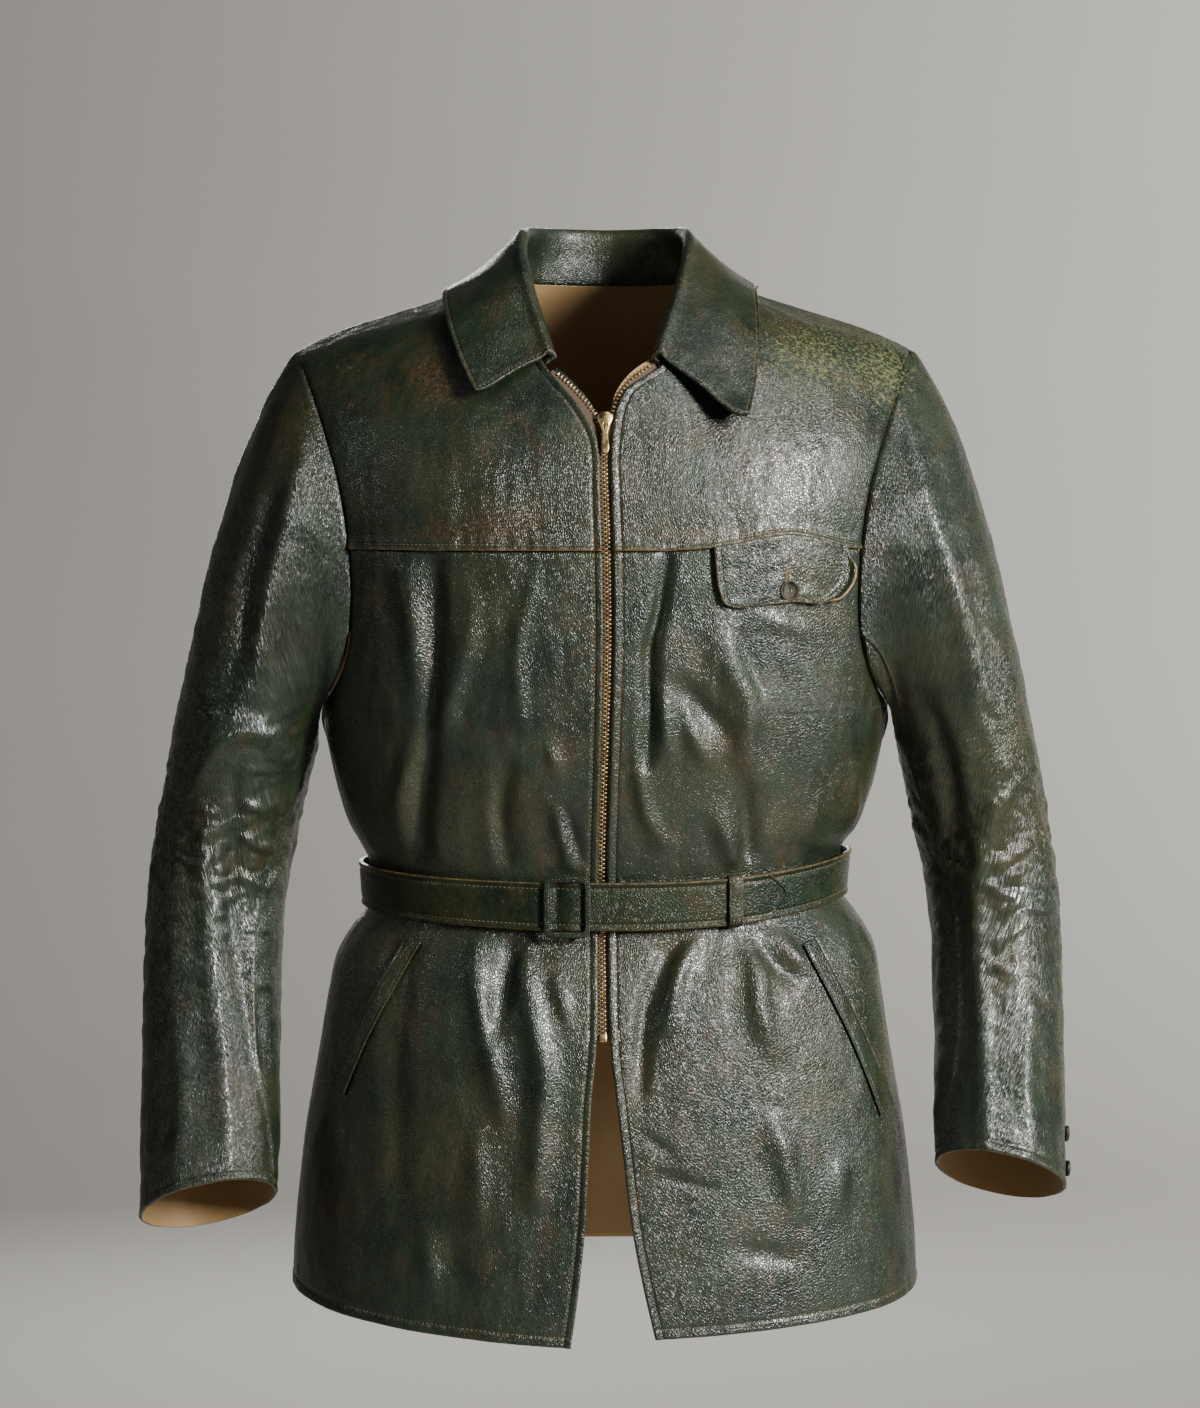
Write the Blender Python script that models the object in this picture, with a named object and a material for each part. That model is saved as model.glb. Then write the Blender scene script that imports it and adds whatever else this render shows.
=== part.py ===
"""Belted leather jacket with a front zip, in its hollow, worn form.

Axes: X to the wearer's left, Y to the back, Z up, in metres. The origin lies between the
neck points of the shoulder seams, where the wearer's neck and shoulders hold the jacket.
A torso panel is drawn in front view, as (x, z), and the torso's form gives each point its y.
The sleeves are rings along a bent centreline that grow out of the armholes.
"""

import math
from collections import namedtuple

import bmesh
import bpy
import numpy as np
from mathutils import Matrix, Vector
from mathutils.bvhtree import BVHTree

# Walls and gaps
WALL = 0.0020            # leather with its lining
COLLAR_WALL = 0.0026     # two layers of leather
BELT_WALL = 0.0026
TAPE_WALL = 0.0010
SEAM_GAP = 0.0005        # between two sewn panels
MOST_SHARP = 4.0         # the gap is widened up to this much where a seam is folded
MOST_DEEP = 1.3          # and the wall thickened up to this much
LAY_GAP = 0.0012         # under what lies on a panel
RIM_ORDER = np.array([0.37, 0.21, 1.0])        # both sides of a seam are cut the same way

# Heights and widths of the torso
YOKE_Z = -0.190
ARMHOLE_Z = -0.307
HEM_Z = -0.7265
BELT_Z = -0.4400
ZIP_END_Z = -0.5340
SLIDER_Z = -0.1000
NECK_X = 0.0750
SHOULDER_X = 0.2260
RIDGE_Y = 0.0100         # the shoulder seam lies this far behind the side seams
SQUARENESS = 2.3         # of the torso's sections
FRONT, BACK = -1, 1
LEFT, RIGHT = 1, -1      # the wearer's
SIDE_NAMES = {LEFT: "left", RIGHT: "right"}

# The torso's sections, bottom to top: half width, and depth before and behind the side seams.
# Above the armholes the width is that of a form the armholes are cut from.
Section = namedtuple("Section", "z half_width front back")
TORSO = [
    Section(-0.760, 0.2310, 0.1505, 0.1405),
    Section(-0.700, 0.2290, 0.1475, 0.1375),
    Section(-0.663, 0.2256, 0.1450, 0.1345),
    Section(-0.625, 0.2216, 0.1420, 0.1310),
    Section(-0.600, 0.2178, 0.1400, 0.1288),
    Section(-0.574, 0.2130, 0.1375, 0.1262),
    Section(-0.548, 0.2085, 0.1345, 0.1230),
    Section(-0.523, 0.2040, 0.1300, 0.1185),
    Section(-0.498, 0.1985, 0.1240, 0.1120),
    Section(-0.480, 0.1905, 0.1175, 0.1052),
    Section(-0.468, 0.1810, 0.1128, 0.1005),
    Section(-0.460, 0.1745, 0.1110, 0.0988),
    Section(-0.440, 0.1735, 0.1108, 0.0985),
    Section(-0.422, 0.1740, 0.1110, 0.0987),
    Section(-0.414, 0.1785, 0.1125, 0.0998),
    Section(-0.403, 0.1850, 0.1147, 0.1018),
    Section(-0.389, 0.1900, 0.1175, 0.1042),
    Section(-0.364, 0.1970, 0.1226, 0.1090),
    Section(-0.340, 0.2015, 0.1270, 0.1130),
    Section(-0.303, 0.2075, 0.1320, 0.1180),
    Section(-0.260, 0.2110, 0.1345, 0.1208),
    Section(-0.195, 0.2155, 0.1355, 0.1220),
    Section(-0.140, 0.2280, 0.1355, 0.1220),
    Section(-0.100, 0.2375, 0.1355, 0.1220),
    Section(-0.050, 0.2490, 0.1355, 0.1220),
    Section(0.030, 0.2620, 0.1355, 0.1220),
]

# The shoulder line, from the centre out
RidgePoint = namedtuple("RidgePoint", "x z")
RIDGE = [
    RidgePoint(0.000, 0.0240),
    RidgePoint(0.040, 0.0160),
    RidgePoint(0.075, 0.0041),
    RidgePoint(0.110, -0.0060),
    RidgePoint(0.136, -0.0145),
    RidgePoint(0.159, -0.0215),
    RidgePoint(0.183, -0.0290),
    RidgePoint(0.206, -0.0380),
    RidgePoint(0.226, -0.0480),
    RidgePoint(0.250, -0.0620),
]
# How the chest and the back bend over to the shoulder line
Bend = namedtuple("Bend", "rise fall")
SHOULDER_BEND = {FRONT: Bend(2.0, 1.7), BACK: Bend(2.6, 2.0)}

# The armhole's edge in front view, bottom to top
ArmholePoint = namedtuple("ArmholePoint", "z front back")
ARMHOLE = [
    ArmholePoint(-0.307, 0.2070, 0.2070),
    ArmholePoint(-0.3035, 0.2047, 0.2061),
    ArmholePoint(-0.297, 0.1995, 0.2030),
    ArmholePoint(-0.280, 0.1895, 0.1985),
    ArmholePoint(-0.250, 0.1818, 0.1957),
    ArmholePoint(-0.222, 0.1803, 0.1950),
    ArmholePoint(-0.195, 0.1813, 0.1952),
    ArmholePoint(-0.165, 0.1850, 0.1970),
    ArmholePoint(-0.135, 0.1912, 0.2002),
    ArmholePoint(-0.105, 0.2010, 0.2060),
    ArmholePoint(-0.078, 0.2108, 0.2130),
    ArmholePoint(-0.060, 0.2190, 0.2200),
    ArmholePoint(-0.048, 0.2260, 0.2260),
]

# The front's inner edge below the zip, where the fronts part, bottom to top
EdgePoint = namedtuple("EdgePoint", "z left right")
FRONT_EDGE = [
    EdgePoint(-0.760, 0.0390, 0.0250),
    EdgePoint(-0.740, 0.0350, 0.0220),
    EdgePoint(-0.693, 0.0245, 0.0155),
    EdgePoint(-0.649, 0.0175, 0.0117),
    EdgePoint(-0.600, 0.0122, 0.0095),
    EdgePoint(-0.565, 0.0080, 0.0075),
    EdgePoint(-0.535, 0.0048, 0.0042),
    EdgePoint(-0.500, 0.0045, 0.0035),
    EdgePoint(YOKE_Z, 0.0045, 0.0035),
]
# The yoke's inner edge: up the zip, round the open neck, then the neck seam to the shoulder
NeckPoint = namedtuple("NeckPoint", "x z")
NECKLINE = {
    LEFT: [
        NeckPoint(0.0045, YOKE_Z),
        NeckPoint(0.0045, -0.1500),
        NeckPoint(0.0050, -0.1140),
        NeckPoint(0.0125, -0.0805),
        NeckPoint(0.0400, -0.0600),
        NeckPoint(0.0545, -0.0360),
        NeckPoint(0.0665, -0.0145),
        NeckPoint(0.0750, 0.0041),
    ],
    RIGHT: [
        NeckPoint(0.0035, YOKE_Z),
        NeckPoint(0.0035, -0.1500),
        NeckPoint(0.0046, -0.1140),
        NeckPoint(0.0175, -0.0895),
        NeckPoint(0.0425, -0.0600),
        NeckPoint(0.0555, -0.0360),
        NeckPoint(0.0670, -0.0145),
        NeckPoint(0.0750, 0.0041),
    ],
}
COLLAR_FROM = 4          # the neckline row where the collar starts
BACK_NECK_Z = 0.0020     # height of the back neck seam at its middle
HEM_DROP = {LEFT: 0.0175, RIGHT: 0.0235}       # the hem's dip at the front edge
YOKE_LIFT = {LEFT: 0.0110, RIGHT: 0.0}         # the yoke seam rises over the flap pocket

# Rows of the panels, as heights at their outer edge
SIDE_ROWS = [
    HEM_Z, -0.695, -0.655, -0.615, -0.577, -0.545, -0.515, -0.490,
    -0.470, -0.459, -0.440, -0.423, -0.413, -0.400, -0.375, -0.342, ARMHOLE_Z,
]
FRONT_ARM_ROWS = [-0.3035, -0.297, -0.280, -0.250, -0.222, YOKE_Z]
YOKE_ARM_ROWS = [YOKE_Z, -0.168, -0.142, -0.116, -0.092, -0.072, -0.057, -0.048]
BACK_ARM_ROWS = [-0.3035, -0.297, -0.276, -0.248, YOKE_Z, -0.160, -0.128, -0.098, -0.074, -0.057, -0.048]
FRONT_COLUMNS = 8
BACK_NECK_COLUMNS = 4    # on each side of the middle

# The largest folds, as soft ridges (+) or troughs (-) on a bowed line in front view
Fold = namedtuple("Fold", "side x0 z0 x1 z1 x2 z2 width height")
FOLDS = [
    Fold(RIGHT, 0.131, -0.205, 0.132, -0.290, 0.136, -0.400, 0.020, 0.0040),
    Fold(RIGHT, 0.117, -0.205, 0.120, -0.300, 0.128, -0.400, 0.020, -0.0045),
    Fold(RIGHT, 0.088, -0.210, 0.098, -0.260, 0.112, -0.310, 0.020, 0.0030),
    Fold(RIGHT, 0.032, -0.370, 0.029, -0.390, 0.025, -0.412, 0.020, 0.0040),
    Fold(RIGHT, 0.060, -0.465, 0.083, -0.540, 0.072, -0.600, 0.020, -0.0050),
    Fold(RIGHT, 0.034, -0.480, 0.048, -0.550, 0.044, -0.640, 0.020, 0.0050),
    Fold(RIGHT, 0.140, -0.465, 0.146, -0.540, 0.150, -0.620, 0.020, -0.0040),
    Fold(LEFT, 0.044, -0.205, 0.032, -0.300, 0.040, -0.360, 0.020, -0.0050),
    Fold(LEFT, 0.066, -0.245, 0.094, -0.270, 0.104, -0.300, 0.020, 0.0050),
    Fold(LEFT, 0.056, -0.300, 0.080, -0.370, 0.096, -0.412, 0.020, 0.0035),
    Fold(LEFT, 0.090, -0.300, 0.102, -0.350, 0.118, -0.405, 0.020, 0.0035),
    Fold(LEFT, 0.054, -0.465, 0.028, -0.540, 0.028, -0.610, 0.020, -0.0050),
    Fold(LEFT, 0.120, -0.480, 0.118, -0.520, 0.126, -0.560, 0.022, 0.0050),
    Fold(LEFT, 0.120, -0.600, 0.138, -0.630, 0.132, -0.670, 0.020, 0.0040),
]
BACK_FOLDS = [
    Fold(LEFT, 0.120, -0.220, 0.105, -0.320, 0.085, -0.405, 0.020, 0.0050),
    Fold(RIGHT, 0.130, -0.230, 0.112, -0.330, 0.092, -0.405, 0.020, 0.0045),
    Fold(LEFT, 0.030, -0.300, 0.035, -0.360, 0.030, -0.410, 0.020, -0.0040),
    Fold(RIGHT, 0.040, -0.280, 0.035, -0.350, 0.040, -0.410, 0.020, -0.0040),
    Fold(LEFT, 0.070, -0.470, 0.085, -0.560, 0.090, -0.680, 0.024, 0.0060),
    Fold(RIGHT, 0.060, -0.470, 0.075, -0.560, 0.085, -0.690, 0.024, 0.0055),
    Fold(LEFT, 0.010, -0.470, 0.012, -0.560, 0.008, -0.660, 0.020, -0.0050),
    Fold(RIGHT, 0.140, -0.470, 0.150, -0.560, 0.155, -0.640, 0.020, -0.0045),
]
BELT_PRESS = 0.030       # the belt flattens the folds this far above and below its middle
EDGE_CALM = 0.030        # no folds this near the zip

# The sleeve's centreline and sections from the armpit down, and the cuffs
Ring = namedtuple("Ring", "z x y half_width half_depth")
SLEEVE = [
    Ring(-0.690, 0.2840, -0.0950, 0.0490, 0.0555),
    Ring(-0.660, 0.2845, -0.0810, 0.0495, 0.0560),
    Ring(-0.610, 0.2850, -0.0585, 0.0500, 0.0570),
    Ring(-0.560, 0.2860, -0.0380, 0.0500, 0.0580),
    Ring(-0.500, 0.2865, -0.0160, 0.0500, 0.0600),
    Ring(-0.450, 0.2850, -0.0010, 0.0505, 0.0630),
    Ring(-0.410, 0.2795, 0.0050, 0.0510, 0.0660),
    Ring(-0.370, 0.2715, 0.0040, 0.0520, 0.0690),
    Ring(-0.335, 0.2640, 0.0000, 0.0530, 0.0720),
]
Cuff = namedtuple("Cuff", "z width_share tilt")
CUFFS = {LEFT: Cuff(-0.640, 0.945, 0.010), RIGHT: Cuff(-0.660, 1.0, 0.010)}
CAP_ROWS = [0.16, 0.34, 0.55, 0.78, 1.0]
ARM_ROWS = 11
BICEPS_Z = -0.335
# How the cloth leaves the armhole, by the angle round it (0 top, 90 front, 180 armpit)
Departure = namedtuple("Departure", "angle out fore down")
DEPARTURES = [
    Departure(0, 0.60, 0.00, 0.80),
    Departure(45, 0.78, 0.22, 0.58),
    Departure(90, 0.88, 0.26, 0.38),
    Departure(135, 0.78, 0.12, 0.60),
    Departure(180, 0.55, 0.00, 0.83),
    Departure(225, 0.78, -0.12, 0.60),
    Departure(270, 0.88, -0.26, 0.38),
    Departure(315, 0.78, -0.22, 0.58),
    Departure(360, 0.60, 0.00, 0.80),
]
# Where the sleeve's two seams run, as angles round the arm
SeamTurn = namedtuple("SeamTurn", "z front left right")
SLEEVE_SEAMS = [
    SeamTurn(-0.690, 172, 346, 322),
    SeamTurn(-0.640, 163, 340, 316),
    SeamTurn(-0.580, 140, 316, 300),
    SeamTurn(-0.500, 134, 290, 284),
    SeamTurn(-0.420, 140, 268, 268),
    SeamTurn(-0.335, 152, 252, 252),
]
FRONT_SEAM_COLUMN = 9
BACK_SEAM_COLUMN = 17
SleeveFold = namedtuple("SleeveFold", "z angle reach width height")
SLEEVE_FOLDS = [
    SleeveFold(-0.345, 110, 60, 0.018, 0.0025),
    SleeveFold(-0.390, 80, 60, 0.017, -0.0035),
    SleeveFold(-0.430, 110, 60, 0.018, 0.0030),
    SleeveFold(-0.400, 270, 60, 0.018, 0.0030),
    SleeveFold(-0.520, 90, 50, 0.020, 0.0020),
]

# The collar, from its front end round to the middle of the back. The leaf's outer edge is
# placed by x and by its turn over the shoulder: -1 yoke seam in front, 0 ridge, 1 behind.
CollarRow = namedtuple("CollarRow", "fold_x fold_y fold_z edge_x turn lift puff")
COLLAR_FRONT = {
    LEFT: [
        CollarRow(0.0395, -0.0950, -0.0470, 0.0985, -0.668, 0.010, 0.002),
        CollarRow(0.0480, -0.0710, -0.0220, 0.1045, -0.560, 0.005, 0.005),
        CollarRow(0.0570, -0.0420, 0.0080, 0.1075, -0.410, 0.004, 0.002),
        CollarRow(0.0613, -0.0040, 0.0350, 0.1105, -0.170, 0.005, -0.003),
    ],
    RIGHT: [
        CollarRow(0.0410, -0.0940, -0.0460, 0.0930, -0.592, 0.006, 0.001),
        CollarRow(0.0498, -0.0700, -0.0205, 0.1035, -0.480, 0.004, 0.004),
        CollarRow(0.0585, -0.0420, 0.0095, 0.1120, -0.330, 0.004, 0.000),
        CollarRow(0.0613, -0.0040, 0.0355, 0.1175, -0.120, 0.005, -0.0065),
    ],
}
COLLAR_BACK = [
    CollarRow(0.0550, 0.0300, 0.0410, 0.1120, 0.120, 0.005, -0.003),
    CollarRow(0.0400, 0.0510, 0.0415, 0.0900, 0.300, 0.004, 0.000),
    CollarRow(0.0205, 0.0620, 0.0410, 0.0480, 0.405, 0.004, 0.001),
    CollarRow(0.0000, 0.0655, 0.0405, 0.0000, 0.430, 0.004, 0.001),
]
FOLD_RADIUS = 0.0042
LEAF_STEPS = 5

# The zip: the chain's line beside the open neck, from the slider up
ChainPoint = namedtuple("ChainPoint", "x z")
CHAIN = {
    LEFT: [
        ChainPoint(0.0009, ZIP_END_Z), ChainPoint(0.0009, -0.1080),
        ChainPoint(0.0056, -0.0920), ChainPoint(0.0100, -0.0795),
        ChainPoint(0.0190, -0.0680), ChainPoint(0.0300, -0.0600),
        ChainPoint(0.0350, -0.0575),
    ],
    RIGHT: [
        ChainPoint(0.0009, ZIP_END_Z), ChainPoint(0.0009, -0.1080),
        ChainPoint(0.0063, -0.0935), ChainPoint(0.0125, -0.0850),
        ChainPoint(0.0230, -0.0740), ChainPoint(0.0315, -0.0665),
        ChainPoint(0.0375, -0.0620),
    ],
}
TAPE_WIDTH = 0.0140
TAPE_DEPTH = 0.0008      # between the panel's inner side and the tape
FACING_DEPTH = 0.0030
FACING_WIDTH = {LEFT: 0.0100, RIGHT: 0.0080}

# Slider and pull, in millimetre-sized pieces round the slider's middle
SLIDER_HALF = 0.0034     # half width where it holds the closed chain
SLIDER_CROWN = 0.0058    # half width at its top, where the two rows of teeth come in
SLIDER_TOP, SLIDER_BOTTOM = -0.0070, 0.0065
PLATE_IN, PLATE_OUT = -0.0010, 0.0006
ARCH_IN, ARCH_OUT = 0.0026, 0.0036
ARCH_HALF = 0.0010
ARCH_TOP, ARCH_BOTTOM = -0.0050, 0.0040
PIN_DOWN, PIN_OUT = 0.0015, 0.0015
PULL_HALF = 0.0006       # half thickness
PULL_EYE = 0.0014        # half width of the hole
PULL_EYE_END = 0.0044    # hole's end, from the pin
PULL_OUTLINE = [         # down from the pin, half width
    (-0.0006, 0.0018), (0.0000, 0.0024), (0.0044, 0.0024), (0.0070, 0.0017),
    (0.0110, 0.0021), (0.0160, 0.0026), (0.0205, 0.0024), (0.0225, 0.0014),
]

# Flap pocket, welts, belt, buttons
FlapRow = namedtuple("FlapRow", "drop x0 x1")
FLAP = [
    FlapRow(0.0000, 0.0755, 0.1740),
    FlapRow(0.0180, 0.0770, 0.1760),
    FlapRow(0.0340, 0.0795, 0.1690),
    FlapRow(0.0430, 0.0850, 0.1580),
    FlapRow(0.0475, 0.0960, 0.1480),
]
FLAP_COLUMNS = 7
FLAP_CURL = 0.0080       # how far its outer corner stands off
WELT_ENDS = {LEFT: ((0.1500, -0.468), (0.2080, -0.597)), RIGHT: ((0.1400, -0.466), (0.1970, -0.580))}
WELT_WIDTH = 0.0110
WELT_ROWS = 10
BELT_HEIGHT = 0.0340
BELT_SIDE_HEIGHT = 0.0310
BELT_LIFT = {LEFT: 0.0150, RIGHT: 0.0060}      # the belt rides up at the sides
BELT_REACH = 0.1735      # half width of the waist under it
BELT_GAP = 0.0026
BELT_STEPS = 11          # per quarter
BUCKLE_X = (-0.0427, -0.0098)
BUCKLE_HEIGHT = 0.0440
BUCKLE_BAR = 0.0046
BUCKLE_WALL = 0.0030
UNDER_END_X = -0.0215    # where the strap's buckle end stops beside the crossbar
TIP_X = 0.1250
TIP_LENGTH = 0.0130
KEEPER_X = (0.0850, 0.0940)
KEEPER_WALL = 0.0012
FLAP_BUTTON_AT = (0.1290, -0.2180)
FLAP_BUTTON_RADIUS = 0.0072
CUFF_BUTTON_RADIUS = 0.0058
CUFF_BUTTON_HEIGHTS = (0.0145, 0.0370)           # above the cuff
CUFF_BUTTON_TURN = {LEFT: 355, RIGHT: 336}

LEATHER = ("leather_green", (0.030, 0.052, 0.036), 0.42, 0.0)
LINING = ("lining_tan", (0.42, 0.24, 0.08), 0.85, 0.0)
TAPE = ("zip_tape", (0.30, 0.18, 0.07), 0.85, 0.0)
BRASS = ("zip_brass", (0.72, 0.48, 0.20), 0.30, 1.0)
HORN = ("button_horn", (0.06, 0.055, 0.04), 0.30, 0.0)


# --- reading the tables -----------------------------------------------------------------

def read(table, key, column, place):
    """The column's value at a place along the key column, on a smooth curve through the rows."""
    keys = np.array([getattr(row, key) for row in table])
    values = np.array([getattr(row, column) for row in table])
    slopes = np.gradient(values, keys)
    place = np.clip(np.asarray(place, float), keys[0], keys[-1])
    at = np.clip(np.searchsorted(keys, place, side="right") - 1, 0, len(keys) - 2)
    step = keys[at + 1] - keys[at]
    t = (place - keys[at]) / step
    start = (1 + 2 * t) * (1 - t) ** 2 * values[at] + t * (1 - t) ** 2 * step * slopes[at]
    end = t * t * (3 - 2 * t) * values[at + 1] + t * t * (t - 1) * step * slopes[at + 1]
    return start + end


def unit(vectors):
    return vectors / np.maximum(np.linalg.norm(vectors, axis=-1, keepdims=True), 1e-12)


def ease(t):
    t = np.clip(t, 0, 1)
    return t * t * (3 - 2 * t)


# --- the torso's form -------------------------------------------------------------------

def waist_shift(x, z):
    """The waist follows the belt, which rides up towards the sides."""
    lift = np.where(np.asarray(x) > 0, BELT_LIFT[LEFT], BELT_LIFT[RIGHT])
    out = np.minimum(np.abs(x) / BELT_REACH, 1.0) ** 2.5
    near = 1 - ease((np.abs(np.asarray(z, float) - BELT_Z) - 0.03) / 0.07)
    return lift * out * near


def half_width(z, side):
    return read(TORSO, "z", "half_width", z - waist_shift(side, z))


def ridge(x):
    return read(RIDGE, "x", "z", np.abs(x))


def torso_y(x, z, face):
    """The y of the torso's front or back at a place in front view."""
    at = z - waist_shift(x, z)
    depth = read(TORSO, "z", "front" if face == FRONT else "back", at)
    out = np.abs(x) / read(TORSO, "z", "half_width", at)
    across = np.clip(1 - out ** SQUARENESS, 0, 1) ** (1 / SQUARENESS)
    rise = np.clip((z - YOKE_Z) / (ridge(x) - YOKE_Z), 0, 1)
    bend = SHOULDER_BEND[face]
    stay = (1 - rise ** bend.rise) ** (1 / bend.fall)
    return RIDGE_Y + (face * depth * across - RIDGE_Y) * stay


def climb(x, z):
    """How far a place has climbed from the yoke line (0) to the shoulder line (1)."""
    share = np.clip((z - YOKE_Z) / (ridge(x) - YOKE_Z), 0, 1)
    return np.arcsin(share) * 2 / math.pi


def climbed_z(x, climbed):
    return YOKE_Z + (ridge(x) - YOKE_Z) * np.sin(climbed * math.pi / 2)


def line_distance(x, z, fold, samples=9):
    """Distance from points in front view to a fold's bowed line, and the place along it."""
    t = np.linspace(0, 1, samples)
    px = (1 - t) ** 2 * fold.x0 + 2 * t * (1 - t) * fold.x1 + t * t * fold.x2
    pz = (1 - t) ** 2 * fold.z0 + 2 * t * (1 - t) * fold.z1 + t * t * fold.z2
    best = np.full(np.shape(x), 9.0)
    place = np.zeros(np.shape(x))
    for k in range(samples - 1):
        dx, dz = px[k + 1] - px[k], pz[k + 1] - pz[k]
        s = np.clip(((x - px[k]) * dx + (z - pz[k]) * dz) / (dx * dx + dz * dz), 0, 1)
        gap = np.hypot(x - px[k] - s * dx, z - pz[k] - s * dz)
        nearer = gap < best
        best = np.where(nearer, gap, best)
        place = np.where(nearer, (k + s) / (samples - 1), place)
    return best, place


def fold_height(x, z, face):
    """Height of the folds of the fronts or the back at a place in front view."""
    total = np.zeros(np.shape(x))
    for fold in FOLDS if face == FRONT else BACK_FOLDS:
        gap, place = line_distance(fold.side * x, z, fold)
        swell = np.sin(math.pi * np.clip(0.15 + 0.7 * place, 0, 1))
        total = total + fold.height * swell * np.exp(-(gap / fold.width) ** 2)
    pressed = ease((np.abs(z - BELT_Z) - BELT_PRESS * 0.6) / BELT_PRESS)
    calm = ease((np.abs(x) - EDGE_CALM) / 0.025) if face == FRONT else 1.0
    return total * pressed * calm


# --- grids of points: rows from bottom to top, columns from the middle out ---------------

def front_edge(side, z):
    return read(FRONT_EDGE, "z", SIDE_NAMES[side], z)


def armhole_edge(face, z):
    return read(ARMHOLE, "z", "front" if face == FRONT else "back", z)


def lower_front(side):
    share = np.linspace(0, 1, FRONT_COLUMNS + 1)
    rows = []
    for edge_z in SIDE_ROWS + FRONT_ARM_ROWS:
        drop = HEM_DROP[side] * (1 - share) * ease((-0.60 - edge_z) / 0.12)
        rise = YOKE_LIFT[side] * np.exp(-((share - 0.62) / 0.24) ** 2) * (1 - share ** 6)
        z = edge_z - drop + rise * ease((edge_z + 0.245) / (YOKE_Z + 0.245))
        half = half_width(z + waist_shift(side, edge_z), side)
        outer = half if edge_z <= ARMHOLE_Z else armhole_edge(FRONT, edge_z) * np.ones_like(z)
        power = SQUARENESS / 2
        start = np.arccos((front_edge(side, z) / half) ** power)
        stop = np.arccos(np.clip(outer / half, 0, 1) ** power)
        x = half * np.clip(np.cos(start + (stop - start) * share), 0, 1) ** (1 / power)
        rows.append(np.stack([x, z + waist_shift(side * x, edge_z)], -1))
    return np.array(rows)


def yoke(side, below):
    """The yoke in front view. Its lowest row is the lower front's highest."""
    inner_x, outer_x = below[0, 0], below[-1, 0]
    share = (below[:, 0] - inner_x) / (outer_x - inner_x)
    lift = climb(below[:, 0], below[:, 1])
    rows = [below]
    for r in range(1, len(YOKE_ARM_ROWS)):
        neck = NECKLINE[side][r]
        arm_x = float(armhole_edge(FRONT, YOKE_ARM_ROWS[r]))
        last = r == len(YOKE_ARM_ROWS) - 1
        start = 1.0 if last else climb(neck.x, neck.z)
        stop = 1.0 if last else climb(arm_x, YOKE_ARM_ROWS[r])
        x = neck.x + (arm_x - neck.x) * share
        climbed = start + (stop - start) * share + lift * (1 - r / (len(YOKE_ARM_ROWS) - 1)) ** 2
        rows.append(np.stack([x, climbed_z(x, np.clip(climbed, 0, 1))], -1))
    return np.array(rows)


def back_neck_z(x):
    side_z = float(ridge(NECK_X))
    return BACK_NECK_Z + (side_z - BACK_NECK_Z) * (np.abs(x) / NECK_X) ** 3


def back(yoke_share):
    """The back in front view, with columns from the right armhole to the left one."""
    shoulder = (NECK_X + (SHOULDER_X - NECK_X) * yoke_share) / SHOULDER_X
    neck = np.linspace(0, NECK_X / SHOULDER_X, BACK_NECK_COLUMNS + 1)
    half = np.concatenate([neck[:-1], shoulder])
    share = np.concatenate([-half[::-1], half[1:]])
    top_x = share * SHOULDER_X
    in_neck = np.abs(top_x) < NECK_X - 1e-6
    reach = np.where(in_neck, climb(top_x, back_neck_z(top_x)), 1.0)
    rows = []
    for edge_z in SIDE_ROWS + BACK_ARM_ROWS:
        if edge_z <= ARMHOLE_Z:
            left, right = (half_width(edge_z + waist_shift(s, edge_z), s) for s in (LEFT, RIGHT))
            x = np.where(share > 0, left, right) * share
            z = edge_z + waist_shift(x, edge_z)
        else:
            edge_x = float(armhole_edge(BACK, edge_z))
            x = edge_x * share
            last = edge_z == BACK_ARM_ROWS[-1]
            climbed = 1.0 if last else float(climb(edge_x, edge_z))
            z = climbed_z(x, climbed * reach) if edge_z > YOKE_Z else np.full(share.shape, edge_z)
        rows.append(np.stack([x, z], -1))
    return np.array(rows)


def on_torso(flat, side, face):
    """Puts a grid drawn in front view on the torso."""
    x, z = side * flat[..., 0], flat[..., 1]
    return np.stack([x, torso_y(x, z, face), z], -1)


# --- normals and walls ------------------------------------------------------------------

def grid_normals(grid, outward):
    across = np.gradient(grid, axis=1)
    along = np.gradient(grid, axis=0)
    return unit(np.cross(across, along)) * outward


def shared_normals(grids, outwards):
    """Normals of sewn panels, the same on both sides of a seam, and how sharply each seam
    is folded: 1 where it lies flat, more where two panels meet at an angle."""
    sharp = {name: np.ones(grid.shape[:2]) for name, grid in grids.items()}
    normals = {name: grid_normals(grid, outwards[name]) for name, grid in grids.items()}
    sums = {}
    for name, grid in grids.items():
        for r, c in edge_places(grid):
            key = tuple(np.round(grid[r, c], 5))
            sums.setdefault(key, {})[name] = normals[name][r, c].copy()
    for name, grid in grids.items():
        for r, c in edge_places(grid):
            found = sums[tuple(np.round(grid[r, c], 5))]
            sleeve = [normal for panel, normal in found.items() if "sleeve" in panel]
            body = [normal for panel, normal in found.items() if "sleeve" not in panel]
            sides = [unit(sum(group)) for group in (sleeve, body) if group]
            if len(sides) == 1:
                sides = list(found.values())
            mean = sum(sides) / len(sides)
            normals[name][r, c] = unit(mean)
            sharp[name][r, c] = min(1 / max(np.linalg.norm(mean), 0.2), MOST_SHARP)
    return normals, sharp


def edge_places(grid):
    rows, columns = grid.shape[:2]
    return [
        (r, c)
        for r in range(rows)
        for c in range(columns)
        if r in (0, rows - 1) or c in (0, columns - 1)
    ]


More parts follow.
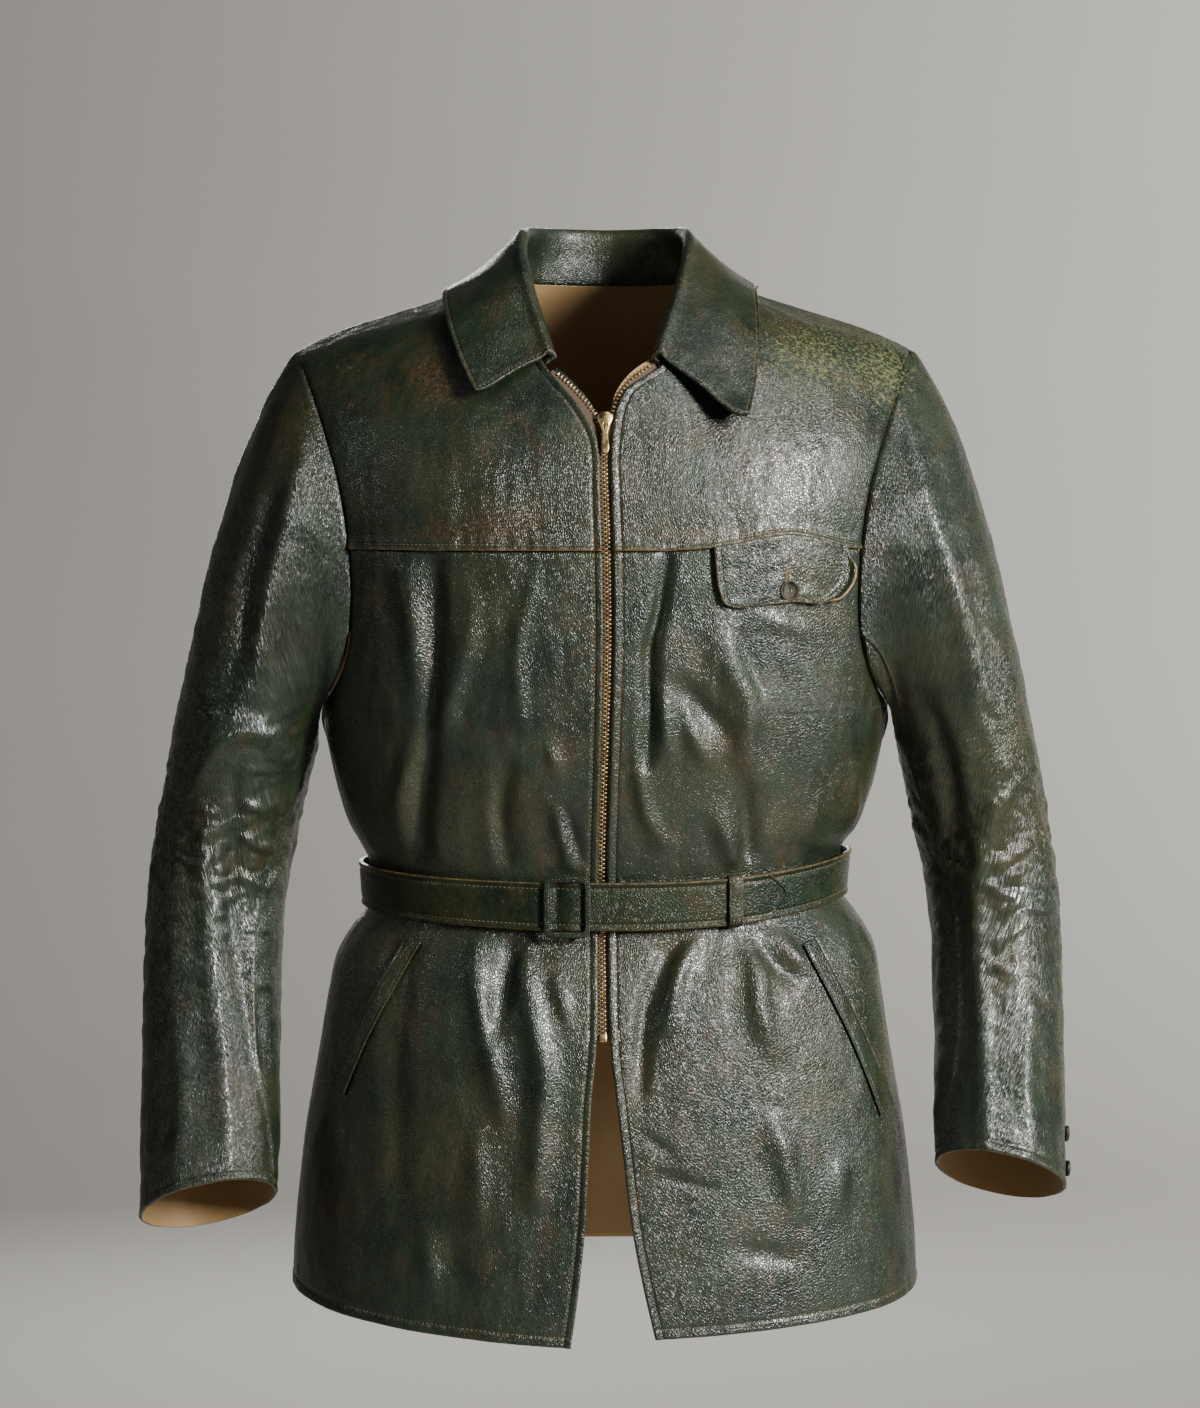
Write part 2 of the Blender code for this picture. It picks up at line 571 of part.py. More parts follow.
def pulled_in(grid, distances):
    """The grid with its edges drawn in square to themselves, which leaves the seam gaps."""
    made = grid.copy()
    for turn in range(4):
        work = np.rot90(grid, turn)
        target = np.rot90(made, turn)
        tangent = unit(np.gradient(work[0], axis=0))
        way = work[1] - work[0]
        way = way - tangent * (way * tangent).sum(-1, keepdims=True)
        target[0] += unit(way) * np.rot90(distances, turn)[0][:, None]
    return made


def split(grid, r, c):
    """A cell of a grid as two triangles, cut along its shorter diagonal."""
    a, b, d, e = (r, c), (r, c + 1), (r + 1, c + 1), (r + 1, c)
    if np.linalg.norm(grid[a] - grid[d]) <= np.linalg.norm(grid[b] - grid[e]) + 1e-9:
        return (a, b, d), (a, d, e)
    return (a, b, e), (b, d, e)


def wall_mesh(name, outer, inner):
    """One closed wall between two grids of the same size."""
    rows, columns = outer.shape[:2]
    count = rows * columns
    points = np.concatenate([outer.reshape(-1, 3), inner.reshape(-1, 3)])
    faces = []

    def number(r, c, layer):
        return layer * count + r * columns + c

    for r in range(rows - 1):
        for c in range(columns - 1):
            for triangle in split(outer, r, c):
                faces.append(tuple(number(i, j, 0) for i, j in triangle))
                faces.append(tuple(number(i, j, 1) for i, j in reversed(triangle)))
    rim = [(0, c) for c in range(columns)] + [(r, columns - 1) for r in range(1, rows)]
    rim += [(rows - 1, c) for c in range(columns - 2, -1, -1)]
    rim += [(r, 0) for r in range(rows - 2, 0, -1)]
    for a, b in zip(rim, rim[1:] + rim[:1]):
        if outer[a] @ RIM_ORDER > outer[b] @ RIM_ORDER:
            faces.append((number(*b, 0), number(*a, 0), number(*b, 1)))
            faces.append((number(*a, 0), number(*a, 1), number(*b, 1)))
        else:
            faces.append((number(*b, 0), number(*a, 0), number(*a, 1)))
            faces.append((number(*b, 0), number(*a, 1), number(*b, 1)))
    return mesh_object(name, points, faces)


def mesh_object(name, points, faces):
    """An object whose faces point out of the closed mesh."""
    corners = points[np.array([f[:3] for f in faces])]
    volume = np.einsum("ij,ij->i", corners[:, 0], np.cross(corners[:, 1], corners[:, 2])).sum()
    if volume < 0:
        faces = [tuple(reversed(f)) for f in faces]
    mesh = bpy.data.meshes.new(name)
    mesh.from_pydata(points.tolist(), [], faces)
    mesh.validate()
    made = bpy.data.objects.new(name, mesh)
    bpy.context.scene.collection.objects.link(made)
    return made


def finish_with(made, material):
    name, color, roughness, metallic = material
    found = bpy.data.materials.get(name)
    if found is None:
        found = bpy.data.materials.new(name)
        found.use_nodes = True
        shader = found.node_tree.nodes["Principled BSDF"]
        shader.inputs["Base Color"].default_value = (*color, 1.0)
        shader.inputs["Roughness"].default_value = roughness
        shader.inputs["Metallic"].default_value = metallic
    made.data.materials.append(found)
    return made


# --- sleeves ----------------------------------------------------------------------------

def ring_points(side, z, angles):
    """Points round the arm at a height of the centreline, and the centreline's direction."""
    cuff = CUFFS[side]
    step = 0.004
    centre, below = (
        np.array([float(read(SLEEVE, "z", "x", at)), float(read(SLEEVE, "z", "y", at)), at])
        for at in (z, z - step)
    )
    down = unit(below - centre)
    out = unit(np.array([1.0, 0, 0]) - down * down[0])
    fore = np.cross(out, down)
    fore = fore * -np.sign(fore[1])
    half_w = float(read(SLEEVE, "z", "half_width", z)) * cuff.width_share
    half_d = float(read(SLEEVE, "z", "half_depth", z))
    turn = np.radians(angles)
    points = centre + np.cos(turn)[:, None] * out * half_w + np.sin(turn)[:, None] * fore * half_d
    points[:, 2] -= cuff.tilt * np.cos(turn) * ease((-0.50 - z) / (-0.50 - cuff.z))
    return points, down


def sleeve_grid(side, loop):
    """Rings from the armhole's loop to the cuff; the last column repeats the first."""
    gaps = np.linalg.norm(np.diff(loop, axis=0), axis=1)
    low = int(np.argmin(loop[:, 2]))
    front = np.concatenate([[0], np.cumsum(gaps[:low])])
    rear = np.concatenate([[0], np.cumsum(gaps[low:])])
    angles = np.concatenate([180 * front / front[-1], 180 + 180 * rear[1:] / rear[-1]])
    seams = (angles[FRONT_SEAM_COLUMN], angles[BACK_SEAM_COLUMN])

    def turned(z):
        front_turn = read(SLEEVE_SEAMS, "z", "front", z)
        rear_turn = read(SLEEVE_SEAMS, "z", SIDE_NAMES[side], z)
        return np.interp(angles, [0, *seams, 360], [0, front_turn, rear_turn, 360])

    rows = [loop]
    end, down = ring_points(side, BICEPS_Z, turned(BICEPS_Z))
    leave = unit(np.stack([
        read(DEPARTURES, "angle", "out", angles),
        -read(DEPARTURES, "angle", "fore", angles),
        -read(DEPARTURES, "angle", "down", angles),
    ], -1))
    chord = np.linalg.norm(end - loop, axis=1)[:, None]
    for t in CAP_ROWS:
        first = (1 + 2 * t) * (1 - t) ** 2 * loop + t * (1 - t) ** 2 * leave * chord * 0.75
        second = t * t * (3 - 2 * t) * end + t * t * (t - 1) * down * chord * 0.95
        rows.append(first + second)
    for k in range(1, ARM_ROWS + 1):
        z = BICEPS_Z + (CUFFS[side].z - BICEPS_Z) * k / ARM_ROWS
        rows.append(ring_points(side, z, turned(z))[0])
    grid = np.array(rows)
    return fold_sleeve(grid, np.array(angles))


def fold_sleeve(grid, angles):
    """Adds the sleeve's largest folds, which run round the arm."""
    normals = grid_normals(grid, 1.0)
    middle = grid.mean(axis=1, keepdims=True)
    normals *= np.sign((normals * (grid - middle)).sum(-1, keepdims=True))
    height = np.zeros(grid.shape[:2])
    for fold in SLEEVE_FOLDS:
        round_gap = (angles[None, :] - fold.angle + 180) % 360 - 180
        reach = np.exp(-(round_gap / fold.reach) ** 2)
        slope = fold.z - 0.0004 * round_gap
        height += fold.height * reach * np.exp(-((grid[..., 2] - slope) / fold.width) ** 2)
    calm = ease((np.arange(len(grid)) - 3) / 3)[:, None]
    return grid + normals * (height * calm)[..., None]


# --- the sewn panels --------------------------------------------------------------------

def sewn_panels():
    """Every panel of the body as a grid on its own form, before its folds."""
    grids, shares = {}, []
    for side, word in SIDE_NAMES.items():
        flat = lower_front(side)
        above = yoke(side, flat[-1])
        grids[f"front_{word}"] = on_torso(flat, side, FRONT)
        grids[f"front_yoke_{word}"] = on_torso(above, side, FRONT)
        seam_x = flat[-1, :, 0]
        shares.append((seam_x - seam_x[0]) / (seam_x[-1] - seam_x[0]))
    grids["back"] = on_torso(back(sum(shares) / 2), 1, BACK)
    for side, word in SIDE_NAMES.items():
        shoulders = grids["back"][-1] if side == RIGHT else grids["back"][-1, ::-1]
        grids[f"front_yoke_{word}"][-1] = shoulders[FRONT_COLUMNS::-1]
    return grids


def armhole_loop(grids, side):
    """The armhole's edge from the shoulder down the front and up the back."""
    word = SIDE_NAMES[side]
    start = len(SIDE_ROWS) - 1
    yoke_edge = grids[f"front_yoke_{word}"][::-1, -1]
    front = grids[f"front_{word}"][start:-1, -1][::-1]
    rear = grids["back"][start + 1:, -1 if side == LEFT else 0]
    return np.concatenate([yoke_edge, front, rear])


def make_body():
    grids = sewn_panels()
    faces = {name: BACK if name == "back" else FRONT for name in grids}
    outwards = {
        name: np.sign((grid_normals(grid, 1.0)[..., 1] * faces[name]).mean())
        for name, grid in grids.items()
    }
    plain, _ = shared_normals(grids, outwards)
    for name, grid in grids.items():
        height = fold_height(grid[..., 0], grid[..., 2], faces[name])
        height = height * edge_fade(name, grid.shape[:2])
        grids[name] = grid + plain[name] * height[..., None]
    for side, word in SIDE_NAMES.items():
        loop = armhole_loop(grids, side) * np.array([side, 1, 1])
        sleeve = sleeve_grid(side, loop) * np.array([side, 1, 1])
        upper = np.concatenate([sleeve[:, BACK_SEAM_COLUMN:-1], sleeve[:, :FRONT_SEAM_COLUMN + 1]], 1)
        under = sleeve[:, FRONT_SEAM_COLUMN:BACK_SEAM_COLUMN + 1]
        grids[f"sleeve_upper_{word}"], grids[f"sleeve_under_{word}"] = upper, under
        middle = sleeve.mean(axis=1, keepdims=True)
        for piece, grid in (("upper", upper), ("under", under)):
            normal = grid_normals(grid, 1.0)
            outwards[f"sleeve_{piece}_{word}"] = np.sign((normal * (grid - middle)).sum())
    normals, sharp = shared_normals(grids, outwards)
    for name, grid in grids.items():
        gap = sharp[name] * SEAM_GAP / 2
        deep = WALL * np.minimum(sharp[name], MOST_DEEP)[..., None]
        outer = pulled_in(grid, gap)
        inner = pulled_in(grid - normals[name] * deep, gap)
        finish_with(wall_mesh(name, outer, inner), LEATHER)
    return grids, normals


def edge_fade(name, shape):
    """Folds die out at the side, armhole and shoulder seams."""
    rows, columns = shape
    across = np.arange(columns)[None, :]
    up = np.arange(rows)[:, None]
    if name == "back":
        fade = ease(np.minimum(across, columns - 1 - across) / 2)
    else:
        fade = ease((columns - 1 - across) / 2)
    if name != "front_left" and name != "front_right":
        fade = fade * ease((rows - 1 - up) / 2)
    return fade * np.ones(shape)


# --- collar -----------------------------------------------------------------------------

def over_shoulder(x, turn, lift):
    """A point on the torso by x and by its turn over the shoulder line."""
    z = climbed_z(x, 1 - abs(turn))
    face = FRONT if turn < 0 else BACK
    y = torso_y(x, z, face)
    rim = np.array([0.25, face * abs(turn) ** 0.6, 1 - abs(turn) * 0.8])
    return np.array([x, y, z]) + unit(rim) * lift


def make_collar(grids):
    """Stand and leaf in one folded wall, from one front end round the neck to the other."""
    stations = []
    for side, word in SIDE_NAMES.items():
        neck = grids[f"front_yoke_{word}"][COLLAR_FROM:, 0]
        rear = grids["back"][-1, FRONT_COLUMNS:FRONT_COLUMNS + 2 * BACK_NECK_COLUMNS + 1]
        if side == LEFT:
            rear = rear[::-1]
        neck = np.concatenate([neck, rear[1:BACK_NECK_COLUMNS + 1]])
        rows = COLLAR_FRONT[side] + COLLAR_BACK
        half = [collar_profile(side, n, row) for n, row in zip(neck, rows)]
        stations.append(np.array(half))
    left, right = stations
    middle = np.concatenate([right, left[::-1][1:]])
    normals = grid_normals(middle, 1.0)
    leaf_normal = normals[:, -3]
    if (leaf_normal[:, 2]).mean() < 0:
        normals = -normals
    outer = middle + normals * COLLAR_WALL / 2
    inner = middle - normals * COLLAR_WALL / 2
    return finish_with(wall_mesh("collar", outer, inner), LEATHER)


def collar_profile(side, neck, row):
    """The collar's section at one place: neck seam, stand, fold, leaf."""
    mirror = np.array([side, 1, 1])
    fold = np.array([row.fold_x, row.fold_y, row.fold_z])
    edge = over_shoulder(row.edge_x, row.turn, row.lift + COLLAR_WALL)
    neck = neck * mirror
    axis = np.array([0, 0.004, 0])
    away = unit((neck - axis) * np.array([1, 1, 0]))
    neck = neck - away * (COLLAR_WALL / 2 + SEAM_GAP * 2.0) + np.array([0, 0, -0.0005])
    leaf_way = unit((edge - fold) * np.array([1, 1, 0.2]))
    low = np.array([0, 0, FOLD_RADIUS * 0.9])
    inside = fold - leaf_way * FOLD_RADIUS - low
    outside = fold + leaf_way * FOLD_RADIUS - low
    points = [neck, (neck + inside) / 2, inside, fold, outside]
    for k in range(1, LEAF_STEPS + 1):
        share = k / LEAF_STEPS
        bulge = row.puff * math.sin(math.pi * share)
        points.append(outside + (edge - outside) * share + np.array([0, 0, bulge]))
    return np.array(points) * mirror


# --- zip --------------------------------------------------------------------------------

def chain_line(side):
    """Points along the chain in front view: the panel's rows, then the open neck."""
    heights = [z for z in SIDE_ROWS + FRONT_ARM_ROWS if ZIP_END_Z < z]
    heights = [ZIP_END_Z, *heights, -0.150, -0.120]
    straight = [(CHAIN[side][0].x, z) for z in heights]
    return np.array(straight + [(p.x, p.z) for p in CHAIN[side][1:]])


def away_from_neck(line):
    """Directions in front view, square to the chain and away from the opening."""
    along = unit(np.gradient(line, axis=0))
    return np.stack([along[:, 1], -along[:, 0]], -1)


def strip(name, skin, side, lines, depth, material):
    """A strip behind the front panels, with its columns on lines drawn in front view."""
    x, z = side * lines[..., 0], lines[..., 1]
    near = skin(x, z, np.full(x.shape, -depth))
    far = skin(x, z, np.full(x.shape, -depth - TAPE_WALL))
    return finish_with(wall_mesh(name, near, far), material)


def make_tapes(skins):
    for side, word in SIDE_NAMES.items():
        line = chain_line(side)
        away = away_from_neck(line) * TAPE_WIDTH
        lines = np.stack([line, line + away / 2, line + away], 1)
        strip(f"zip_tape_{word}", skins[side], side, lines, WALL + TAPE_DEPTH, TAPE)


def make_facings(skins):
    """What shows inside the open neck: leather on the right front, lining on the left."""
    for side, word in SIDE_NAMES.items():
        line = np.array([(p.x, p.z) for p in CHAIN[side][2:]])
        away = away_from_neck(line)
        share = np.linspace(0, 1, len(line))[:, None]
        inner = line - away * FACING_WIDTH[side] * (0.15 + 0.85 * share)
        outer = line + away * 0.006
        lines = np.stack([inner, (inner + outer) / 2, outer], 1)
        material = LINING if side == LEFT else LEATHER
        strip(f"neck_facing_{word}", skins[side], side, lines, WALL + FACING_DEPTH, material)


def zip_matrix():
    """Axes at the slider: x, down the zip, and out of the chest."""
    middle, lower = (
        np.array([0.0, float(torso_y(0.0, z, FRONT)), z]) for z in (SLIDER_Z, SLIDER_Z - 0.004)
    )
    down = Vector(unit(lower - middle))
    out = Vector((-1, 0, 0)).cross(down)
    return Matrix.Translation(Vector(middle)) @ Matrix(
        ((-1, down.x, out.x), (0, down.y, out.y), (0, down.z, out.z))
    ).to_4x4()


def slab(outline, low, high):
    """A plate from an outline of (x, down) points between two heights out of the chest."""
    points = [(x, d, low) for x, d in outline] + [(x, d, high) for x, d in outline]
    n = len(outline)
    faces = [tuple(range(n)), tuple(reversed(range(n, 2 * n)))]
    faces += [(k, n + k, n + (k + 1) % n, (k + 1) % n) for k in range(n)]
    return points, faces


def place(name, points, faces, matrix):
    moved = np.array([matrix @ Vector(p) for p in points])
    mesh = bpy.data.meshes.new(name)
    mesh.from_pydata(moved.tolist(), [], faces)
    made = bpy.data.objects.new(name, mesh)
    bpy.context.scene.collection.objects.link(made)
    face_out(made)
    return made


def face_out(made):
    """Turns every face of a closed mesh outwards."""
    work = bmesh.new()
    work.from_mesh(made.data)
    bmesh.ops.recalc_face_normals(work, faces=work.faces)
    work.to_mesh(made.data)
    work.free()


def rectangle(x0, x1, d0, d1):
    return [(x0, d0), (x1, d0), (x1, d1), (x0, d1)]


def join_solids(target, others):
    """Boolean unions, with the tools left as hidden guides."""
    for other in others:
        other.hide_render = True
        other.display_type = "WIRE"
        union = target.modifiers.new("union", "BOOLEAN")
        union.operation = "UNION"
        union.solver = "EXACT"
        union.object = other


def make_slider(matrix):
    wide, crown = SLIDER_HALF, SLIDER_CROWN
    outline = [
        (wide * 0.8, SLIDER_BOTTOM), (wide, SLIDER_BOTTOM - 0.004), (crown * 0.9, SLIDER_TOP + 0.0065),
        (crown, SLIDER_TOP + 0.0040), (crown * 0.85, SLIDER_TOP + 0.0015), (crown * 0.45, SLIDER_TOP),
    ]
    plate = outline + [(-x, d) for x, d in reversed(outline)]
    body = place("zip_slider", *slab(plate, PLATE_IN, PLATE_OUT), matrix)
    rear = place("slider_rear", *slab(plate, -0.0062, -0.0050), matrix)
    post = place(
        "slider_post",
        *slab(rectangle(-0.0010, 0.0010, SLIDER_TOP + 0.0006, SLIDER_TOP + 0.0026), -0.0056, 0.0),
        matrix,
    )
    arch = [
        (ARCH_TOP, 0.0), (ARCH_TOP, ARCH_OUT), (ARCH_BOTTOM, ARCH_OUT), (ARCH_BOTTOM, 0.0),
        (ARCH_BOTTOM - 0.001, 0.0), (ARCH_BOTTOM - 0.001, ARCH_IN),
        (ARCH_TOP + 0.001, ARCH_IN), (ARCH_TOP + 0.001, 0.0),
    ]
    points = [(-ARCH_HALF, d, o) for d, o in arch] + [(ARCH_HALF, d, o) for d, o in arch]
    n = len(arch)
    faces = [tuple(range(n)), tuple(reversed(range(n, 2 * n)))]
    faces += [(k, n + k, n + (k + 1) % n, (k + 1) % n) for k in range(n)]
    bail = place("slider_bail", points, faces, matrix)
    join_solids(body, [post, rear, bail])
    return finish_with(body, BRASS)


def make_pull(matrix):
    """The tab hangs from its eye, which turns under the slider's arch."""
    axle = matrix @ Matrix.Translation((0, PIN_DOWN, PIN_OUT))
    outline = [(h, d) for d, h in PULL_OUTLINE] + [(-h, d) for d, h in reversed(PULL_OUTLINE)]
    pull = place("zip_pull", *slab(outline, -PULL_HALF, PULL_HALF), Matrix.Identity(4))
    eye = rectangle(-PULL_EYE, PULL_EYE, 0.0006, PULL_EYE_END)
    cutter = place("pull_eye", *slab(eye, -0.004, 0.004), Matrix.Identity(4))
    pull.matrix_world = axle
    cutter.matrix_world = axle
    cutter.hide_render = True
    cutter.display_type = "WIRE"
    cut = pull.modifiers.new("eye", "BOOLEAN")
    cut.operation = "DIFFERENCE"
    cut.solver = "EXACT"
    cut.object = cutter
    return finish_with(pull, BRASS)


# --- what lies on the fronts ------------------------------------------------------------

def panel_skin(grids, normals, side):
    """A function that gives points on the sewn panels' folded facets, moved out by lift."""
    word = SIDE_NAMES[side]
    names = [f"front_{word}", f"front_yoke_{word}"]
    corners, leans = [], []
    for name in names:
        grid, normal = grids[name], normals[name]
        for r in range(grid.shape[0] - 1):
            for c in range(grid.shape[1] - 1):
                for ids in split(grid, r, c):
                    corners.append([grid[i] for i in ids])
                    leans.append([normal[i] for i in ids])
    corners, leans = np.array(corners), np.array(leans)
    a, b, c = (corners[:, k][:, [0, 2]] for k in range(3))
    area = (b[:, 0] - a[:, 0]) * (c[:, 1] - a[:, 1]) - (c[:, 0] - a[:, 0]) * (b[:, 1] - a[:, 1])
    area = np.where(np.abs(area) < 1e-12, 1e-12, area)

    def skin(x, z, lift):
        made = np.zeros((*np.shape(x), 3))
        for place_at in np.ndindex(np.shape(x)):
            px, pz = x[place_at], z[place_at]
            second = ((px - a[:, 0]) * (c[:, 1] - a[:, 1]) - (c[:, 0] - a[:, 0]) * (pz - a[:, 1])) / area
            third = ((b[:, 0] - a[:, 0]) * (pz - a[:, 1]) - (px - a[:, 0]) * (b[:, 1] - a[:, 1])) / area
            first = 1 - second - third
            best = int(np.argmax(np.minimum(np.minimum(first, second), third)))
            shares = np.array([first[best], second[best], third[best]])[:, None]
            point = (corners[best] * shares).sum(0)
            normal = unit((leans[best] * shares).sum(0))
            made[place_at] = point + normal * lift[place_at]
        return made

    return skin


def make_flap(skin, seam_z):
    share = np.linspace(0, 1, FLAP_COLUMNS + 1)
    x = np.array([row.x0 + (row.x1 - row.x0) * share for row in FLAP])
    drop = np.array([np.full(share.shape, row.drop) for row in FLAP])
    z = seam_z(x) - 0.0012 - drop
    reach = drop / FLAP[-1].drop
    curl = FLAP_CURL * ease((share - 0.72) / 0.28)[None, :] * ease(reach * 1.4 - 0.2)
    off = LAY_GAP * (0.9 + 1.4 * reach) + curl
    outer = skin(x, z, off + 0.0020)
    inner = skin(x, z, off)
    finish_with(wall_mesh("pocket_flap", outer[::-1], inner[::-1]), LEATHER)
    return outer


def make_welts(skins):
    for side, word in SIDE_NAMES.items():
        (x0, z0), (x1, z1) = WELT_ENDS[side]
        t = np.linspace(0, 1, WELT_ROWS)
        bow = 0.004 * np.sin(math.pi * t)
        line_x, line_z = x0 + (x1 - x0) * t + bow, z0 + (z1 - z0) * t
        way = unit(np.array([z1 - z0, x0 - x1]))
        side_x = np.stack([line_x, line_x - abs(way[0]) * WELT_WIDTH], 1)
        side_z = np.stack([line_z, line_z - abs(way[1]) * WELT_WIDTH], 1)
        lift = np.full(side_x.shape, LAY_GAP + 0.0009)
        outer = skins[side](side * side_x, side_z, lift + 0.0012)
        inner = skins[side](side * side_x, side_z, lift)
        finish_with(wall_mesh(f"pocket_welt_{word}", outer, inner), LEATHER)


def button_object(name, centre, normal, radius):
    """A turned button: a low bowl with a raised rim, on its flat back."""
    profile = [
        (0.0, 0.0), (radius * 0.86, 0.0), (radius, 0.0007), (radius, 0.0017),
        (radius * 0.90, 0.0023), (radius * 0.72, 0.0020), (radius * 0.62, 0.0013), (0.0, 0.0011),
    ]
    work = bmesh.new()
    verts = [work.verts.new((r, 0, h)) for r, h in profile]
    edges = [work.edges.new(pair) for pair in zip(verts, verts[1:])]
    bmesh.ops.spin(
        work, geom=verts + edges, cent=(0, 0, 0), axis=(0, 0, 1), angle=2 * math.pi, steps=20
    )
    bmesh.ops.remove_doubles(work, verts=work.verts, dist=1e-6)
    bmesh.ops.recalc_face_normals(work, faces=work.faces)
    turn = Vector(normal).to_track_quat("Z", "Y").to_matrix().to_4x4()
    bmesh.ops.transform(work, matrix=Matrix.Translation(Vector(centre)) @ turn, verts=work.verts)
    mesh = bpy.data.meshes.new(name)
    work.to_mesh(mesh)
    work.free()
    made = bpy.data.objects.new(name, mesh)
    bpy.context.scene.collection.objects.link(made)
    return finish_with(made, HORN)


def make_flap_button(flap):
    target = np.array(FLAP_BUTTON_AT)
    flat = flap[..., [0, 2]].reshape(-1, 2)
    order = np.argsort(np.linalg.norm(flat - target, axis=1))[:4]
    near = flap.reshape(-1, 3)[order]
    centre = near.mean(0)
    centre[0], centre[2] = target
    normal = np.linalg.svd(near - near.mean(0))[2][-1]
    normal = normal * -np.sign(normal[1])
    centre[1] = near[:, 1].mean()
    reach = ((near - centre) @ normal).max()
    return button_object("flap_button", centre + normal * (reach + 0.0006), normal, FLAP_BUTTON_RADIUS)


def make_cuff_buttons():
    for side, word in SIDE_NAMES.items():
        sleeve = bpy.data.objects[f"sleeve_upper_{word}"].data
        corners = [v.co for v in sleeve.vertices]
        tree = BVHTree.FromPolygons(corners, [p.vertices for p in sleeve.polygons])
        for number, height in enumerate(CUFF_BUTTON_HEIGHTS, 1):
            z = CUFFS[side].z + height
            ring, down = ring_points(side, z, np.array([CUFF_BUTTON_TURN[side]]))
            centre = np.array([float(read(SLEEVE, "z", "x", z)), float(read(SLEEVE, "z", "y", z)), z])
            normal = unit(ring[0] - centre)
            mirror = np.array([side, 1, 1])
            normal = unit(normal - down * (normal @ down)) * mirror
            seat = seated(tree, ring[0] * mirror, normal, down * mirror, CUFF_BUTTON_RADIUS)
            button_object(f"cuff_button_{word}_{number}", seat, normal, CUFF_BUTTON_RADIUS)


def seated(tree, near, normal, across, radius):
    """The place along the normal where a disc of that radius rests on the cloth."""
    far = 0.030
    other = np.cross(normal, across)
    reach = -far
    for turn in np.linspace(0, 2 * math.pi, 13):
        edge = (across * math.cos(turn) + other * math.sin(turn)) * radius
        start = Vector(near + edge + normal * far)
        hit = tree.ray_cast(start, Vector(-normal), 2 * far)
        if hit[0] is not None:
            reach = max(reach, far - hit[3])
    return near + normal * (reach + 0.0004)


# --- belt -------------------------------------------------------------------------------

def belt_middle(x):
    """Height of the belt's middle line, which rides up towards the sides."""
    out = (np.abs(x) / BELT_REACH) ** 2.5
    lift = BELT_LIFT[LEFT] if x > 0 else BELT_LIFT[RIGHT]
    return BELT_Z - 0.0015 + lift * out


def belt_stations():
    """The strap's way, from its buckle end round the left side and the back to its tip."""
    quarter = np.linspace(0, math.pi / 2, BELT_STEPS + 1)
    half = BELT_REACH
    power = 2 / SQUARENESS

    def across(turn):
        return half * max(math.cos(turn), 0.0) ** power

    stations = [(UNDER_END_X, FRONT, 0)]
    stations += [(across(t), FRONT, 0) for t in quarter[::-1] if across(t) > UNDER_END_X + 0.012]
    stations += [(across(t), BACK, 0) for t in quarter[1:]]
    stations += [(-across(t), BACK, 0) for t in quarter[-2::-1]]
    stations += [(-across(t), FRONT, 0) for t in quarter[1:] if across(t) > 0.085]
    stations += [(-0.078, FRONT, 0), (-0.060, FRONT, 0.5), (-0.045, FRONT, 1), (-0.025, FRONT, 1)]
    over = np.linspace(0.0, TIP_X - TIP_LENGTH, 6)
    stations += [(x, FRONT, 1) for x in over]
    return stations


def belt_point(x, face, level, share, lift=0.0):
    """A point on the strap's inner side; share runs from its lower to its upper edge."""
    half = BELT_REACH
    middle = belt_middle(x)
    out = min(abs(x) / half, 1.0)
    height = BELT_HEIGHT + (BELT_SIDE_HEIGHT - BELT_HEIGHT) * out ** 2
    z = middle + (share - 0.5) * height
    power = SQUARENESS
    depth = float(read(TORSO, "z", "front" if face == FRONT else "back", BELT_Z))
    flat_y = face * depth * max(1 - out ** power, 0.0) ** (1 / power)
    side_x, side_y = abs(x), flat_y
    slope_x = (side_x / half) ** (power - 1) / half
    slope_y = face * (abs(side_y) / depth) ** (power - 1) / depth
    normal = unit(np.array([slope_x * (1 if x >= 0 else -1), slope_y, 0.0]))
    flare = 0.0012 * (2 * share - 1) * out ** 6
    base = BELT_GAP + level * (BELT_WALL + SEAM_GAP) + flare
    return np.array([x, flat_y, z]) + normal * (base + lift), normal


def make_belt():
    inner, outer = [], []
    for x, face, level in belt_stations():
        low, normal = belt_point(x, face, level, 0.0)
        high, _ = belt_point(x, face, level, 1.0)
        inner.append([low, (low + high) / 2, high])
        outer.append([p + normal * BELT_WALL for p in inner[-1]])
    low, normal = belt_point(TIP_X, FRONT, 1, 0.42)
    high, _ = belt_point(TIP_X, FRONT, 1, 0.58)
    inner.append([low, (low + high) / 2, high])
    outer.append([p + normal * BELT_WALL for p in inner[-1]])
    return finish_with(wall_mesh("belt", np.array(outer), np.array(inner)), LEATHER)


def bent_box(name, x0, x1, share0, share1, lift0, lift1, steps=2):
    """A slab that follows the belt's bend, between two places across, up and out."""
    xs = np.linspace(x0, x1, steps + 1)
    low, high = [], []
    for x in xs:
        low.append([belt_point(x, FRONT, 0, s, lift0)[0] for s in (share0, share1)])
        high.append([belt_point(x, FRONT, 0, s, lift1)[0] for s in (share0, share1)])
    return wall_mesh(name, np.array(high), np.array(low))


